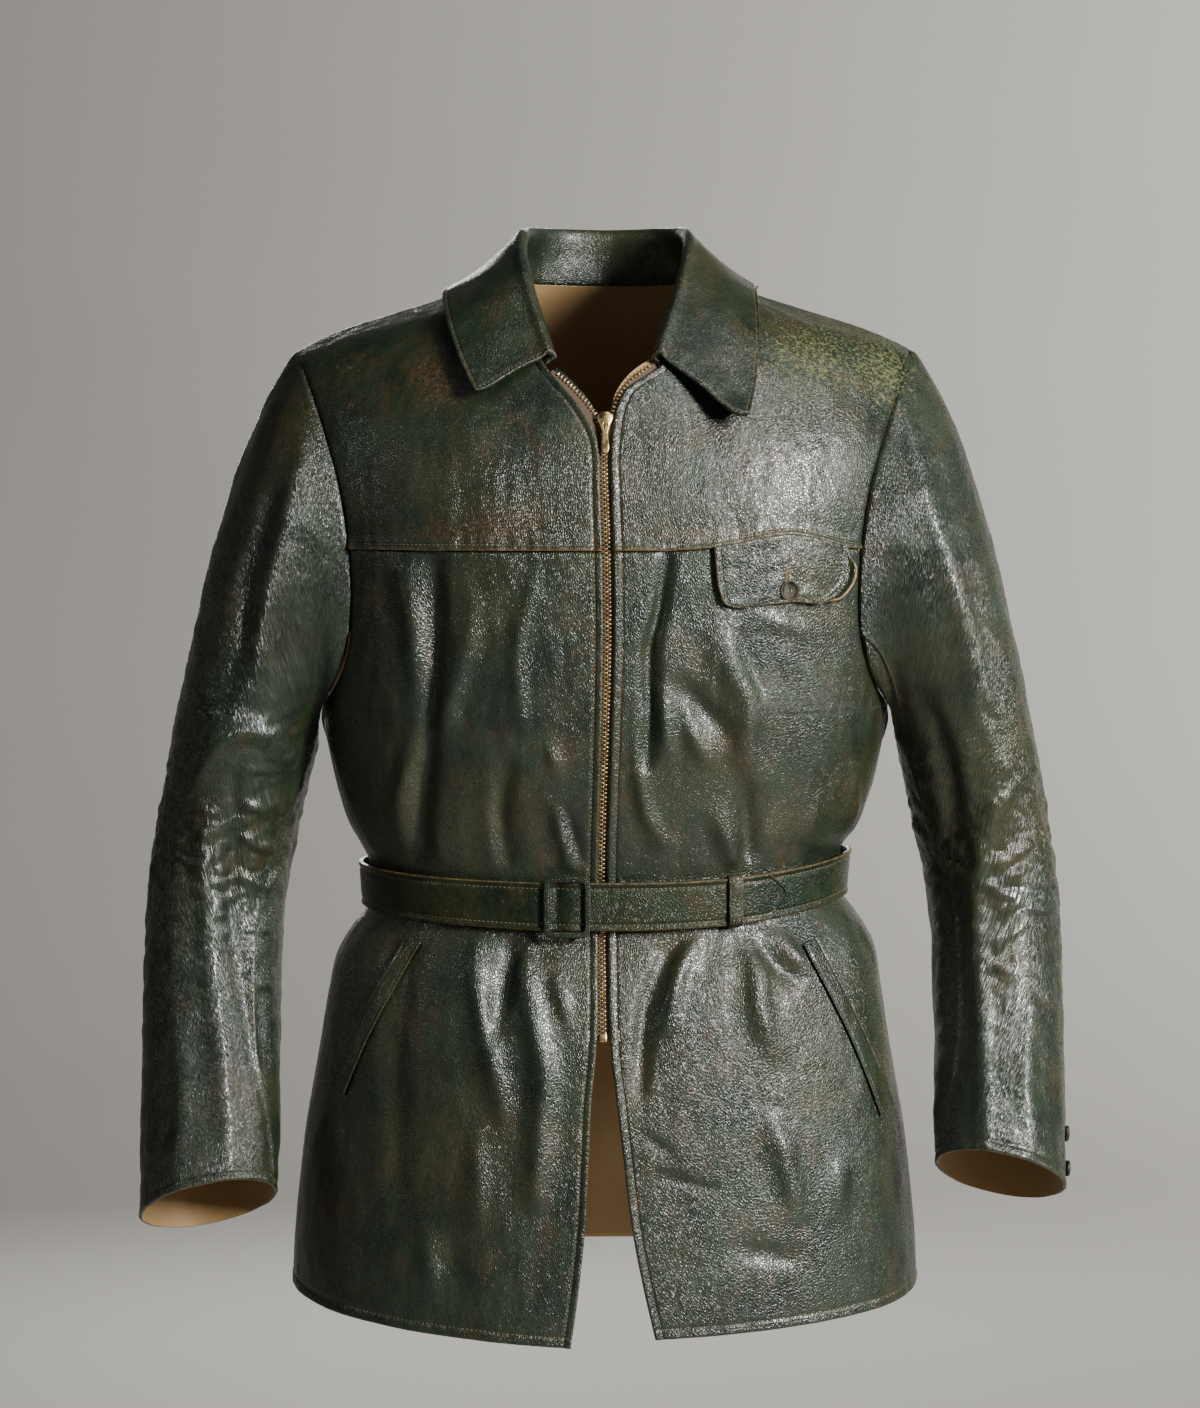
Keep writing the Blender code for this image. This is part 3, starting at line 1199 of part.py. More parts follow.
def make_buckle():
    """A covered frame on the strap, with its crossbar behind the strap."""
    x0, x1 = BUCKLE_X
    grow = (BUCKLE_HEIGHT / BELT_HEIGHT - 1) / 2
    bar = BUCKLE_BAR / BELT_HEIGHT
    low = BELT_WALL * 2 + SEAM_GAP * 2
    high = low + BUCKLE_WALL
    frame = bent_box("belt_buckle", x0, x0 + BUCKLE_BAR, -grow, 1 + grow, low, high, 1)
    right = bent_box("buckle_right", x1 - BUCKLE_BAR, x1, -grow, 1 + grow, low, high, 1)
    inset = 0.0003
    others = [right]
    for word, s0, s1 in (("low", -grow, -grow + bar), ("high", 1 + grow - bar, 1 + grow)):
        others.append(bent_box(
            f"buckle_{word}", x0 + inset, x1 - inset, s0 + 0.001, s1 - 0.001, low + inset, high - inset
        ))
        out0, out1 = (s0 + 0.004, s1 - 0.006) if word == "low" else (s0 + 0.006, s1 - 0.004)
        others.append(bent_box(
            f"buckle_post_{word}", -0.0282, -0.0232, out0, out1, 0.0002, high - 2 * inset, 1
        ))
    others.append(bent_box(
        "buckle_crossbar", -0.0280, -0.0234, -grow + 0.02, 1 + grow - 0.02, 0.0004, 0.0020, 1
    ))
    join_solids(frame, others)
    return finish_with(frame, LEATHER)


def make_keeper():
    """The loop that holds the strap's two layers, closed behind them."""
    x0, x1 = KEEPER_X
    thick = KEEPER_WALL
    top = 2 * BELT_WALL + SEAM_GAP + 0.0010
    edge = 0.0012 / BELT_HEIGHT
    deep = thick / BELT_HEIGHT
    low = -0.0006 - thick
    outline = [
        (-edge - deep, low), (1 + edge + deep, low), (1 + edge + deep, top + thick),
        (-edge - deep, top + thick),
    ]
    hole = [(-edge, low + thick), (1 + edge, low + thick), (1 + edge, top), (-edge, top)]
    points, faces = [], []
    for x in (x0, (x0 + x1) / 2, x1):
        points += [belt_point(x, FRONT, 0, s, lift)[0] for s, lift in outline + hole]
    for k in range(2):
        a, b = 8 * k, 8 * (k + 1)
        for j in range(4):
            n = (j + 1) % 4
            faces.append((a + j, a + n, b + n, b + j))
            faces.append((a + 4 + n, a + 4 + j, b + 4 + j, b + 4 + n))
    for j in range(4):
        n = (j + 1) % 4
        faces.append((j, 4 + j, 4 + n, n))
        faces.append((16 + n, 20 + n, 20 + j, 16 + j))
    mesh = bpy.data.meshes.new("belt_keeper")
    mesh.from_pydata([tuple(p) for p in points], [], faces)
    made = bpy.data.objects.new("belt_keeper", mesh)
    bpy.context.scene.collection.objects.link(made)
    face_out(made)
    return finish_with(made, LEATHER)


def main():
    for old in list(bpy.data.objects):
        bpy.data.objects.remove(old)
    grids, normals = make_body()
    make_collar(grids)
    skins = {side: panel_skin(grids, normals, side) for side in SIDE_NAMES}
    make_tapes(skins)
    make_facings(skins)
    matrix = zip_matrix()
    make_slider(matrix)
    make_pull(matrix)
    seam = grids["front_left"][-1]
    flap = make_flap(skins[LEFT], lambda x: np.interp(x, seam[:, 0], seam[:, 2]))
    make_flap_button(flap)
    make_welts(skins)
    make_cuff_buttons()
    make_belt()
    make_buckle()
    make_keeper()


main()
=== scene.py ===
"""Belted leather jacket with a front zip, in its hollow, worn form.

Axes: X to the wearer's left, Y to the back, Z up, in metres. A piece of leather is a grid of
points: rows from bottom to top, columns from the middle of the jacket out. The torso panels
are drawn in front view and take their y from the torso's form. The sleeves are rings along a
bent centreline that grow out of the armholes. Folds, seams and grain are added to that form.
"""

import math
from collections import namedtuple

import bmesh
import bpy
import numpy as np
from mathutils import Matrix, Vector
from mathutils.bvhtree import BVHTree


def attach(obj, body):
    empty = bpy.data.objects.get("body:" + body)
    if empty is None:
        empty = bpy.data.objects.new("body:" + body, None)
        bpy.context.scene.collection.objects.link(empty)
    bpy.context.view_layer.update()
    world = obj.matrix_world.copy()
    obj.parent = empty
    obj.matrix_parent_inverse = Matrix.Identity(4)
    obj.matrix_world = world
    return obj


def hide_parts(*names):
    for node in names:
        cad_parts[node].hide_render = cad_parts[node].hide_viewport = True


def table(columns, rows):
    """Rows of a table with named columns."""
    row = namedtuple("Row", columns)
    return [row(*values) for values in rows]


# --- measurements -----------------------------------------------------------------------

WALL = 0.0020            # leather with its lining
COLLAR_WALL = 0.0026     # two layers of leather
BELT_WALL = 0.0026
TAPE_WALL = 0.0010
SEAM_GAP = 0.0005        # between two sewn pieces
LAY_GAP = 0.0012         # under what lies on a panel
GRID = 0.0021            # width of a cell of the finished leather
EDGE_STEPS = np.array([0, 0.5, 1.2, 2.1, 3.2, 4.4, 5.1, 5.7, 6.5, 7.6]) / 1000

# Heights and widths of the torso
YOKE_Z = -0.190
ARMHOLE_Z = -0.307
HEM_Z = -0.7265
BELT_Z = -0.4400
ZIP_END_Z = -0.5340
SLIDER_Z = -0.1000
NECK_X = 0.0750
SHOULDER_X = 0.2260
RIDGE_Y = 0.0100         # the shoulder seam lies this far behind the side seams
SQUARENESS = 2.3         # of the torso's sections
FRONT, BACK = -1, 1
LEFT, RIGHT = 1, -1      # the wearer's
SIDE_NAMES = {LEFT: "left", RIGHT: "right"}

# The torso's sections, bottom to top: half width, and depth before and behind the side seams.
# Above the armholes the width is that of a form the armholes are cut from.
TORSO = table("z half_width front back", [
    (-0.760, 0.2310, 0.1505, 0.1405), (-0.700, 0.2290, 0.1475, 0.1375),
    (-0.663, 0.2256, 0.1450, 0.1345), (-0.625, 0.2216, 0.1420, 0.1310),
    (-0.600, 0.2178, 0.1400, 0.1288), (-0.574, 0.2130, 0.1375, 0.1262),
    (-0.548, 0.2085, 0.1345, 0.1230), (-0.523, 0.2040, 0.1300, 0.1185),
    (-0.498, 0.1985, 0.1240, 0.1120), (-0.480, 0.1905, 0.1175, 0.1052),
    (-0.468, 0.1810, 0.1128, 0.1005), (-0.460, 0.1745, 0.1110, 0.0988),
    (-0.440, 0.1735, 0.1108, 0.0985), (-0.422, 0.1740, 0.1110, 0.0987),
    (-0.414, 0.1785, 0.1125, 0.0998), (-0.403, 0.1850, 0.1147, 0.1018),
    (-0.389, 0.1900, 0.1175, 0.1042), (-0.364, 0.1970, 0.1226, 0.1090),
    (-0.340, 0.2015, 0.1270, 0.1130), (-0.303, 0.2075, 0.1320, 0.1180),
    (-0.260, 0.2110, 0.1345, 0.1208), (-0.195, 0.2155, 0.1355, 0.1220),
    (-0.140, 0.2280, 0.1355, 0.1220), (-0.100, 0.2375, 0.1355, 0.1220),
    (-0.050, 0.2490, 0.1355, 0.1220), (0.030, 0.2620, 0.1355, 0.1220),
])

# The shoulder line, from the centre out
RIDGE = table("x z", [
    (0.000, 0.0240), (0.040, 0.0160), (0.075, 0.0041), (0.110, -0.0060), (0.136, -0.0145),
    (0.159, -0.0215), (0.183, -0.0290), (0.206, -0.0380), (0.226, -0.0480), (0.250, -0.0620),
])
# How the chest and the back bend over to the shoulder line
Bend = namedtuple("Bend", "rise fall")
SHOULDER_BEND = {FRONT: Bend(2.0, 1.7), BACK: Bend(2.6, 2.0)}

# The armhole's edge in front view, bottom to top
ARMHOLE = table("z front back", [
    (-0.307, 0.2070, 0.2070), (-0.3035, 0.2047, 0.2061), (-0.297, 0.1995, 0.2030),
    (-0.280, 0.1895, 0.1985), (-0.250, 0.1818, 0.1957), (-0.222, 0.1803, 0.1950),
    (-0.195, 0.1813, 0.1952), (-0.165, 0.1850, 0.1970), (-0.135, 0.1912, 0.2002),
    (-0.105, 0.2010, 0.2060), (-0.078, 0.2108, 0.2130), (-0.060, 0.2190, 0.2200),
    (-0.048, 0.2260, 0.2260),
])

# The front's inner edge below the zip, where the fronts part, bottom to top
FRONT_EDGE = table("z left right", [
    (-0.760, 0.0390, 0.0250), (-0.740, 0.0350, 0.0220), (-0.693, 0.0245, 0.0155),
    (-0.649, 0.0175, 0.0117), (-0.600, 0.0122, 0.0095), (-0.565, 0.0080, 0.0075),
    (-0.535, 0.0048, 0.0042), (-0.500, 0.0045, 0.0035), (YOKE_Z, 0.0045, 0.0035),
])
# The yoke's inner edge: up the zip, round the open neck, then the neck seam to the shoulder
NECKLINE = {
    LEFT: table("x z", [
        (0.0045, YOKE_Z), (0.0045, -0.1500), (0.0050, -0.1140), (0.0125, -0.0805),
        (0.0400, -0.0600), (0.0545, -0.0360), (0.0665, -0.0145), (0.0750, 0.0041),
    ]),
    RIGHT: table("x z", [
        (0.0035, YOKE_Z), (0.0035, -0.1500), (0.0046, -0.1140), (0.0175, -0.0895),
        (0.0425, -0.0600), (0.0555, -0.0360), (0.0670, -0.0145), (0.0750, 0.0041),
    ]),
}
COLLAR_FROM = 4          # the neckline row where the collar starts
BACK_NECK_Z = 0.0020     # height of the back neck seam at its middle
HEM_DROP = {LEFT: 0.0175, RIGHT: 0.0235}       # the hem's dip at the front edge
HEM_DROP_FROM_Z = -0.60
YOKE_LIFT = {LEFT: 0.0110, RIGHT: 0.0}         # the yoke seam rises over the flap pocket
YOKE_LIFT_FROM_Z = -0.245

# Rows of the panels, as heights at their outer edge
SIDE_ROWS = [
    HEM_Z, -0.695, -0.655, -0.615, -0.577, -0.545, -0.515, -0.490,
    -0.470, -0.459, -0.440, -0.423, -0.413, -0.400, -0.375, -0.342, ARMHOLE_Z,
]
FRONT_ARM_ROWS = [-0.3035, -0.297, -0.280, -0.250, -0.222, YOKE_Z]
YOKE_ARM_ROWS = [YOKE_Z, -0.168, -0.142, -0.116, -0.092, -0.072, -0.057, -0.048]
BACK_ARM_ROWS = [
    -0.3035, -0.297, -0.276, -0.248, YOKE_Z, -0.160, -0.128, -0.098, -0.074, -0.057, -0.048,
]
FRONT_COLUMNS = 8
BACK_NECK_COLUMNS = 4    # on each side of the middle

# The sleeve's centreline and sections from the armpit down, and the cuffs
SLEEVE = table("z x y half_width half_depth", [
    (-0.690, 0.2840, -0.0950, 0.0490, 0.0555), (-0.660, 0.2845, -0.0810, 0.0495, 0.0560),
    (-0.610, 0.2850, -0.0585, 0.0500, 0.0570), (-0.560, 0.2860, -0.0380, 0.0500, 0.0580),
    (-0.500, 0.2865, -0.0160, 0.0500, 0.0600), (-0.450, 0.2850, -0.0010, 0.0505, 0.0630),
    (-0.410, 0.2795, 0.0050, 0.0510, 0.0660), (-0.370, 0.2715, 0.0040, 0.0520, 0.0690),
    (-0.335, 0.2640, 0.0000, 0.0530, 0.0720),
])
Cuff = namedtuple("Cuff", "z width_share tilt")
CUFFS = {LEFT: Cuff(-0.640, 0.945, 0.010), RIGHT: Cuff(-0.660, 1.0, 0.010)}
CAP_ROWS = [0.16, 0.34, 0.55, 0.78, 1.0]
ARM_ROWS = 11
BICEPS_Z = -0.335
ELBOW_Z = -0.395
# How the cloth leaves the armhole, by the angle round it (0 top, 90 front, 180 armpit)
DEPARTURES = table("angle out fore down", [
    (0, 0.60, 0.00, 0.80), (45, 0.78, 0.22, 0.58), (90, 0.88, 0.26, 0.38),
    (135, 0.78, 0.12, 0.60), (180, 0.55, 0.00, 0.83), (225, 0.78, -0.12, 0.60),
    (270, 0.88, -0.26, 0.38), (315, 0.78, -0.22, 0.58), (360, 0.60, 0.00, 0.80),
])
# Where the sleeve's two seams run, as angles round the arm
SLEEVE_SEAMS = table("z front left right", [
    (-0.690, 172, 346, 322), (-0.640, 163, 340, 316), (-0.580, 140, 316, 300),
    (-0.500, 134, 290, 284), (-0.420, 140, 268, 268), (-0.335, 152, 252, 252),
])
FRONT_SEAM_COLUMN = 9
BACK_SEAM_COLUMN = 17

# The collar, from its front end round to the middle of the back. The leaf's outer edge is
# placed by x and by its turn over the shoulder: -1 yoke seam in front, 0 ridge, 1 behind.
COLLAR_FRONT = {
    LEFT: table("fold_x fold_y fold_z edge_x turn lift puff", [
        (0.0395, -0.0950, -0.0470, 0.0985, -0.668, 0.010, 0.002),
        (0.0480, -0.0710, -0.0220, 0.1045, -0.560, 0.005, 0.005),
        (0.0570, -0.0420, 0.0080, 0.1075, -0.410, 0.004, 0.002),
        (0.0613, -0.0040, 0.0350, 0.1080, -0.170, 0.0025, -0.002),
    ]),
    RIGHT: table("fold_x fold_y fold_z edge_x turn lift puff", [
        (0.0410, -0.0940, -0.0460, 0.0930, -0.592, 0.006, 0.001),
        (0.0498, -0.0700, -0.0205, 0.1035, -0.480, 0.004, 0.004),
        (0.0585, -0.0420, 0.0095, 0.1120, -0.330, 0.004, 0.000),
        (0.0613, -0.0040, 0.0355, 0.1155, -0.120, 0.0025, -0.0055),
    ]),
}
COLLAR_BACK = table("fold_x fold_y fold_z edge_x turn lift puff", [
    (0.0550, 0.0300, 0.0410, 0.1080, 0.120, 0.0025, -0.002),
    (0.0400, 0.0510, 0.0415, 0.0900, 0.300, 0.004, 0.000),
    (0.0205, 0.0620, 0.0410, 0.0480, 0.405, 0.004, 0.001),
    (0.0000, 0.0655, 0.0405, 0.0000, 0.430, 0.004, 0.001),
])
FOLD_RADIUS = 0.0042
LEAF_STEPS = 5

# The zip: the chain's line beside the open neck, from the slider up
CHAIN = {
    LEFT: table("x z", [
        (0.0009, ZIP_END_Z), (0.0009, -0.1080), (0.0056, -0.0920), (0.0100, -0.0795),
        (0.0190, -0.0680), (0.0300, -0.0600), (0.0350, -0.0575),
    ]),
    RIGHT: table("x z", [
        (0.0009, ZIP_END_Z), (0.0009, -0.1080), (0.0063, -0.0935), (0.0125, -0.0850),
        (0.0230, -0.0740), (0.0315, -0.0665), (0.0375, -0.0620),
    ]),
}
TAPE_WIDTH = 0.0140
TAPE_DEPTH = 0.0008      # between the panel's inner side and the tape
FACING_DEPTH = 0.0030
FACING_WIDTH = {LEFT: 0.0100, RIGHT: 0.0080}

# Slider and pull, from the slider's middle down the zip and out of the chest
SLIDER_OUTLINE = [       # down the zip, and half width
    (-0.0070, 0.0030), (-0.0052, 0.0052), (-0.0032, 0.0058), (-0.0006, 0.0050),
    (0.0030, 0.0034), (0.0065, 0.0028),
]
BAIL_AT = (0, -0.0042, 0.0010)
PIN_DOWN, PIN_OUT = 0.0015, 0.0015
PULL_OUTLINE = [         # down from the pin, and half width
    (-0.0010, 0.0013), (0.0000, 0.0021), (0.0014, 0.0024), (0.0030, 0.0024), (0.0044, 0.0023),
    (0.0058, 0.0020), (0.0080, 0.0018), (0.0110, 0.0021), (0.0140, 0.0025), (0.0170, 0.0027),
    (0.0195, 0.0026), (0.0213, 0.0021), (0.0224, 0.0011),
]
TOOTH_PITCH = 0.0030
TACK_Z = (-0.536, -0.526)

# Flap pocket, welts, belt, buttons
FLAP = table("drop x0 x1", [
    (0.0000, 0.0755, 0.1740), (0.0180, 0.0770, 0.1760), (0.0340, 0.0795, 0.1690),
    (0.0430, 0.0850, 0.1580), (0.0475, 0.0960, 0.1480),
])
FLAP_CURL = 0.0064       # how far its outer edge is turned up
WELT_ENDS = {
    LEFT: ((0.1500, -0.468), (0.2080, -0.597)),
    RIGHT: ((0.1400, -0.466), (0.1970, -0.580)),
}
WELT_WIDTH = 0.0110
WELT_WALL = 0.0012
BELT_HEIGHT = 0.0340
BELT_SIDE_HEIGHT = 0.0310
BELT_LIFT = {LEFT: 0.0150, RIGHT: 0.0060}      # the belt rides up at the sides
BELT_REACH = 0.1735      # half width of the waist under it
BELT_GAP = 0.0026
BELT_STEPS = 11          # per quarter
BUCKLE_X = (-0.0427, -0.0098)
BUCKLE_HEIGHT = 0.0440
BUCKLE_BAR = 0.0046
BUCKLE_WALL = 0.0030
UNDER_END_X = -0.0215    # where the strap's buckle end stops beside the crossbar
TIP_X = 0.1250
TIP_LENGTH = 0.0130
KEEPER_X = (0.0850, 0.0940)
KEEPER_WALL = 0.0012
FLAP_BUTTON_AT = (0.1290, -0.2180)
FLAP_BUTTON_RADIUS = 0.0072
BUTTONHOLE_Z = (-0.2110, -0.1935)
CUFF_BUTTON_RADIUS = 0.0058

# Folds: height and half width in millimetres, along lines of (x, z) millimetres in front view
FRONT_CREASES = table("height width line", [
    # wearer's right, above the belt
    (-6.0, 9, [(-121, -199), (-121, -239), (-124, -280), (-129, -346), (-132, -378),
        (-135, -416)]),
    (3.5, 8, [(-142, -207), (-131, -264), (-132, -329), (-146, -371), (-143, -396)]),
    (2.6, 8, [(-92, -228), (-101, -273), (-111, -299), (-117, -317)]),
    (2.0, 5, [(-38, -328), (-35, -344)]),
    (2.6, 6, [(-34, -373), (-24, -412)]),
    (-2.2, 5, [(-29, -373), (-16, -409)]),
    (-2.6, 7, [(-69, -341), (-74, -376), (-69, -414)]),
    (1.6, 6, [(-52, -215), (-62, -262), (-58, -310)]),
    # wearer's left, above the belt
    (-4.6, 5.5, [(43, -194), (38, -231), (32, -255), (31, -279), (32, -311), (28, -340)]),
    (2.6, 6, [(39, -292), (43, -330)]),
    (2.6, 6, [(22, -327), (29, -376), (41, -397)]),
    (4.5, 11, [(79, -247), (92, -280), (100, -296), (99, -328), (107, -351)]),
    (-3.5, 8, [(54, -285), (70, -302), (86, -320)]),
    (2.4, 6, [(59, -314), (70, -337)]),
    (-1.4, 6, [(98, -256), (109, -290)]),
    (1.2, 6, [(105, -236), (143, -248)]),
    (0.8, 6, [(123, -256), (132, -276)]),
    (3.0, 7, [(79, -376), (93, -414)]),
    (2.6, 7, [(149, -371), (146, -405)]),
    (-3.0, 7, [(101, -360), (103, -419)]),
    (2.6, 7, [(178, -349), (175, -401)]),
    # wearer's right, below the belt
    (4.0, 8, [(-90, -458), (-92, -487), (-83, -530), (-73, -582)]),
    (-4.5, 8, [(-63, -459), (-71, -497), (-79, -532)]),
    (4.5, 9, [(-60, -474), (-49, -527), (-43, -559), (-46, -600), (-49, -642)]),
    (2.0, 6, [(-34, -494), (-25, -521)]),
    (2.2, 8, [(-89, -604), (-91, -665)]),
    (2.2, 8, [(-126, -673), (-121, -712)]),
    (-2.6, 9, [(-142, -470), (-150, -560), (-146, -640)]),
    # wearer's left, below the belt
    (-4.5, 8, [(52, -465), (39, -486), (28, -517), (22, -569)]),
    (3.5, 7, [(63, -464), (52, -486), (45, -523)]),
    (4.5, 9, [(106, -473), (110, -519), (119, -542)]),
    (-3.2, 7, [(104, -465), (119, -482), (136, -495)]),
    (2.4, 6, [(124, -467), (141, -487)]),
    (-1.0, 4, [(26, -600), (45, -613)]),
    (-0.9, 4, [(36, -628), (82, -641)]),
    (3.5, 9, [(120, -597), (137, -657)]),
    (2.2, 8, [(169, -624), (162, -659)]),
    (-2.0, 8, [(96, -682), (135, -691)]),
])
BACK_CREASES = table("height width line", [
    (4.5, 13, [(120, -220), (112, -300), (90, -350), (85, -405)]),
    (4.0, 12, [(-130, -230), (-117, -310), (-100, -360), (-92, -405)]),
    (-4.0, 9, [(30, -300), (36, -350), (30, -412)]),
    (-4.0, 9, [(-40, -280), (-35, -350), (-42, -412)]),
    (-2.6, 8, [(150, -330), (158, -370), (150, -408)]),
    (-2.6, 8, [(-152, -320), (-160, -366), (-150, -410)]),
    (2.2, 9, [(2, -340), (-6, -380), (0, -412)]),
    (1.8, 9, [(60, -120), (20, -150), (-30, -138)]),
    (5.0, 12, [(70, -466), (82, -540), (88, -600), (92, -690)]),
    (4.5, 12, [(-60, -466), (-74, -550), (-80, -610), (-88, -695)]),
    (-4.5, 10, [(10, -466), (14, -560), (6, -650)]),
    (-3.6, 10, [(-140, -466), (-150, -550), (-155, -640)]),
    (-3.0, 9, [(128, -466), (138, -520), (142, -590)]),
    (2.6, 9, [(36, -470), (40, -520), (34, -570)]),
])
SLEEVE_CREASES = table("height width line", [
    (3.4, 9, [(215, -99), (230, -156), (255, -242), (269, -300), (284, -339), (276, -378)]),
    (3.2, 7, [(272, -393), (267, -440), (268, -482), (270, -524), (269, -567), (270, -620)]),
    (-4.0, 9, [(228, -298), (237, -321), (246, -355), (250, -390), (253, -412)]),
    (2.5, 7, [(295, -359), (284, -373), (276, -391)]),
    (0.7, 3, [(272, -245), (291, -274), (296, -318), (304, -347), (313, -376), (325, -420)]),
    (-2.4, 5, [(268, -300), (278, -316), (286, -336)]),
    (1.2, 4, [(272, -418), (290, -414), (306, -404)]),
    (-1.0, 3.5, [(276, -428), (304, -414)]),
    (0.8, 4, [(270, -426), (284, -438), (300, -443)]),
    (0.8, 4, [(285, -452), (306, -438)]),
    (0.9, 4, [(273, -474), (290, -468), (303, -456)]),
    (0.6, 4, [(274, -486), (296, -495)]),
    (2.8, 8, [(-288, -382), (-285, -435), (-282, -494), (-275, -537), (-270, -581),
        (-264, -640)]),
    (3.2, 8, [(-300, -370), (-291, -354), (-274, -327), (-247, -321), (-226, -342)]),
    (-3.6, 7, [(-266, -355), (-266, -406), (-267, -454), (-262, -489), (-255, -526),
        (-249, -555)]),
    (-2.6, 8, [(-236, -150), (-252, -205), (-262, -262), (-276, -300)]),
    (2.4, 9, [(-212, -110), (-226, -180), (-240, -240), (-246, -290)]),
    (1.6, 4, [(-262, -372), (-245, -378), (-232, -372)]),
    (1.4, 4, [(-262, -398), (-248, -406), (-234, -404)]),
    (1.4, 4, [(-260, -428), (-246, -436), (-236, -430)]),
    (1.2, 4, [(-260, -462), (-244, -468)]),
    (1.2, 4, [(-256, -500), (-242, -508)]),
    (2.0, 7, [(306, -520), (300, -560), (303, -610)]),
    (2.0, 7, [(-306, -520), (-300, -570), (-303, -630)]),
])
SLEEVE_REAR_CREASES = table("height width line", [
    (3.0, 8, [(300, -352), (280, -366), (252, -360)]),
    (-3.2, 7, [(304, -374), (280, -386), (250, -380)]),
    (3.0, 7, [(300, -396), (276, -408), (248, -400)]),
    (-2.6, 7, [(300, -420), (276, -432), (250, -424)]),
    (2.4, 7, [(304, -446), (282, -454), (256, -446)]),
    (2.6, 9, [(262, -180), (276, -250), (282, -310)]),
    (3.0, 8, [(-302, -348), (-282, -360), (-252, -352)]),
    (-3.2, 7, [(-304, -370), (-278, -380), (-250, -374)]),
    (3.0, 7, [(-302, -392), (-276, -402), (-250, -394)]),
    (-2.6, 7, [(-300, -414), (-278, -426), (-252, -420)]),
    (2.4, 7, [(-302, -438), (-280, -450), (-258, -442)]),
    (2.6, 9, [(-258, -190), (-272, -250), (-280, -305)]),
])

# Edges, in millimetres: rise of the edge, its reach, how far its last bit rolls under, the
# stitch line's inset, puckers, and edge wear
Edge = namedtuple("Edge", "rise reach roll stitch pucker wear")
EDGES = {
    "seam": Edge(-0.7, 2.4, 0.4, 0, 0.30, 0.10),
    "raised": Edge(0.8, 3.5, 0.5, 0, 0.40, 0.60),
    "lap": Edge(2.5, 6.0, 1.3, 4.0, 0.80, 0.80),
    "under": Edge(-0.7, 3.0, 0.2, 0, 0.25, 0.0),
    "front": Edge(0.7, 4.0, 1.0, 5.6, 0.35, 0.50),
    "hem": Edge(0.5, 5.0, 1.0, 7.0, 0.45, 0.50),
    "neck": Edge(-0.6, 2.5, 0.3, 0, 0.20, 0.1),
    "leaf": Edge(0.5, 2.6, 0.9, 3.2, 0.35, 0.40),
    "flap": Edge(1.1, 2.6, 1.1, 4.2, 0.35, 0.75),
    "cord": Edge(0.9, 2.2, 0.9, 4.2, 0.25, 0.62),
    "welt": Edge(0.5, 1.6, 0.7, 1.7, 0.20, 0.42),
    "plain": Edge(0.0, 2.0, 0.4, 0, 0.0, 0.2),
}

# Worn places: millimetres in front view, their half sizes, and how strong they are
SPOTS = table("mark x z wide tall amount", [
    ("brown", 60, -110, 26, 16, 0.45), ("brown", 120, -130, 34, 26, 0.40),
    ("brown", -60, -170, 40, 14, 0.40), ("brown", 60, -178, 60, 8, 0.55),
    ("brown", -120, -178, 60, 8, 0.40), ("brown", 96, -390, 34, 26, 0.30),
    ("brown", -60, -640, 60, 50, 0.30), ("brown", -119, -68, 26, 24, 0.62),
    ("brown", -80, -134, 60, 60, 0.30), ("brown", 82, -60, 22, 22, 0.40),
    ("brown", 130, -180, 60, 10, 0.30), ("brown", 80, -325, 26, 22, 0.40),
    ("brown", -160, -250, 30, 60, 0.25), ("brown", 150, -520, 50, 70, 0.22),
    ("brown", 300, -400, 30, 50, 0.45), ("brown", -292, -400, 30, 50, 0.35),
    ("scuff", 150, -52, 52, 34, 0.85), ("scuff", 205, -65, 20, 30, 0.75),
    ("scuff", 158, -360, 20, 26, 0.40), ("scuff", 300, -300, 16, 60, 0.35),
    ("scuff", -190, -60, 30, 24, 0.30), ("scuff", 276, -620, 30, 24, 0.35),
    ("scuff", -280, -640, 30, 24, 0.30),
])
# How far the zip wavers to the wearer's left, by height
SWAY = [
    (-0.5330, -0.0014), (-0.4770, -0.0021), (-0.4240, -0.0028), (-0.3650, -0.0014),
    (-0.3230, 0.0000), (-0.2530, 0.0018), (-0.1940, 0.0014), (-0.1235, -0.0007), (-0.0600, 0.0000),
]
STITCH_PITCH = 0.0033
STITCH_LIFT = 0.00005    # how far stitches lie off the leather
CREASE_STRENGTH = 1.5    # the photo's creases are drawn this much deeper than measured


# --- reading the tables -----------------------------------------------------------------

def through(values, keys, places):
    """Values at places along their keys, on a smooth curve through all of them."""
    values, keys = np.asarray(values, float), np.asarray(keys, float)
    slopes = np.gradient(values, keys, axis=0)
    places = np.clip(np.asarray(places, float), keys[0], keys[-1])
    at = np.clip(np.searchsorted(keys, places, side="right") - 1, 0, len(keys) - 2)
    step = keys[at + 1] - keys[at]
    t = (places - keys[at]) / step
    wide = places.shape + (1,) * (values.ndim - 1)
    t, step = t.reshape(wide), step.reshape(wide)
    start = (1 + 2 * t) * (1 - t) ** 2 * values[at] + t * (1 - t) ** 2 * step * slopes[at]
    end = t * t * (3 - 2 * t) * values[at + 1] + t * t * (t - 1) * step * slopes[at + 1]
    return start + end


def read(rows, key, column, place):
    """A column of a table at a place, which is given in its key column."""
    keys = [getattr(row, key) for row in rows]
    return through([getattr(row, column) for row in rows], keys, place)


def unit(vectors):
    return vectors / np.maximum(np.linalg.norm(vectors, axis=-1, keepdims=True), 1e-12)


def ease(t):
    """Goes smoothly from 0 to 1."""
    t = np.clip(t, 0, 1)
    return t * t * (3 - 2 * t)


def bell(distance, width):
    return np.exp(-(distance / width) ** 2)


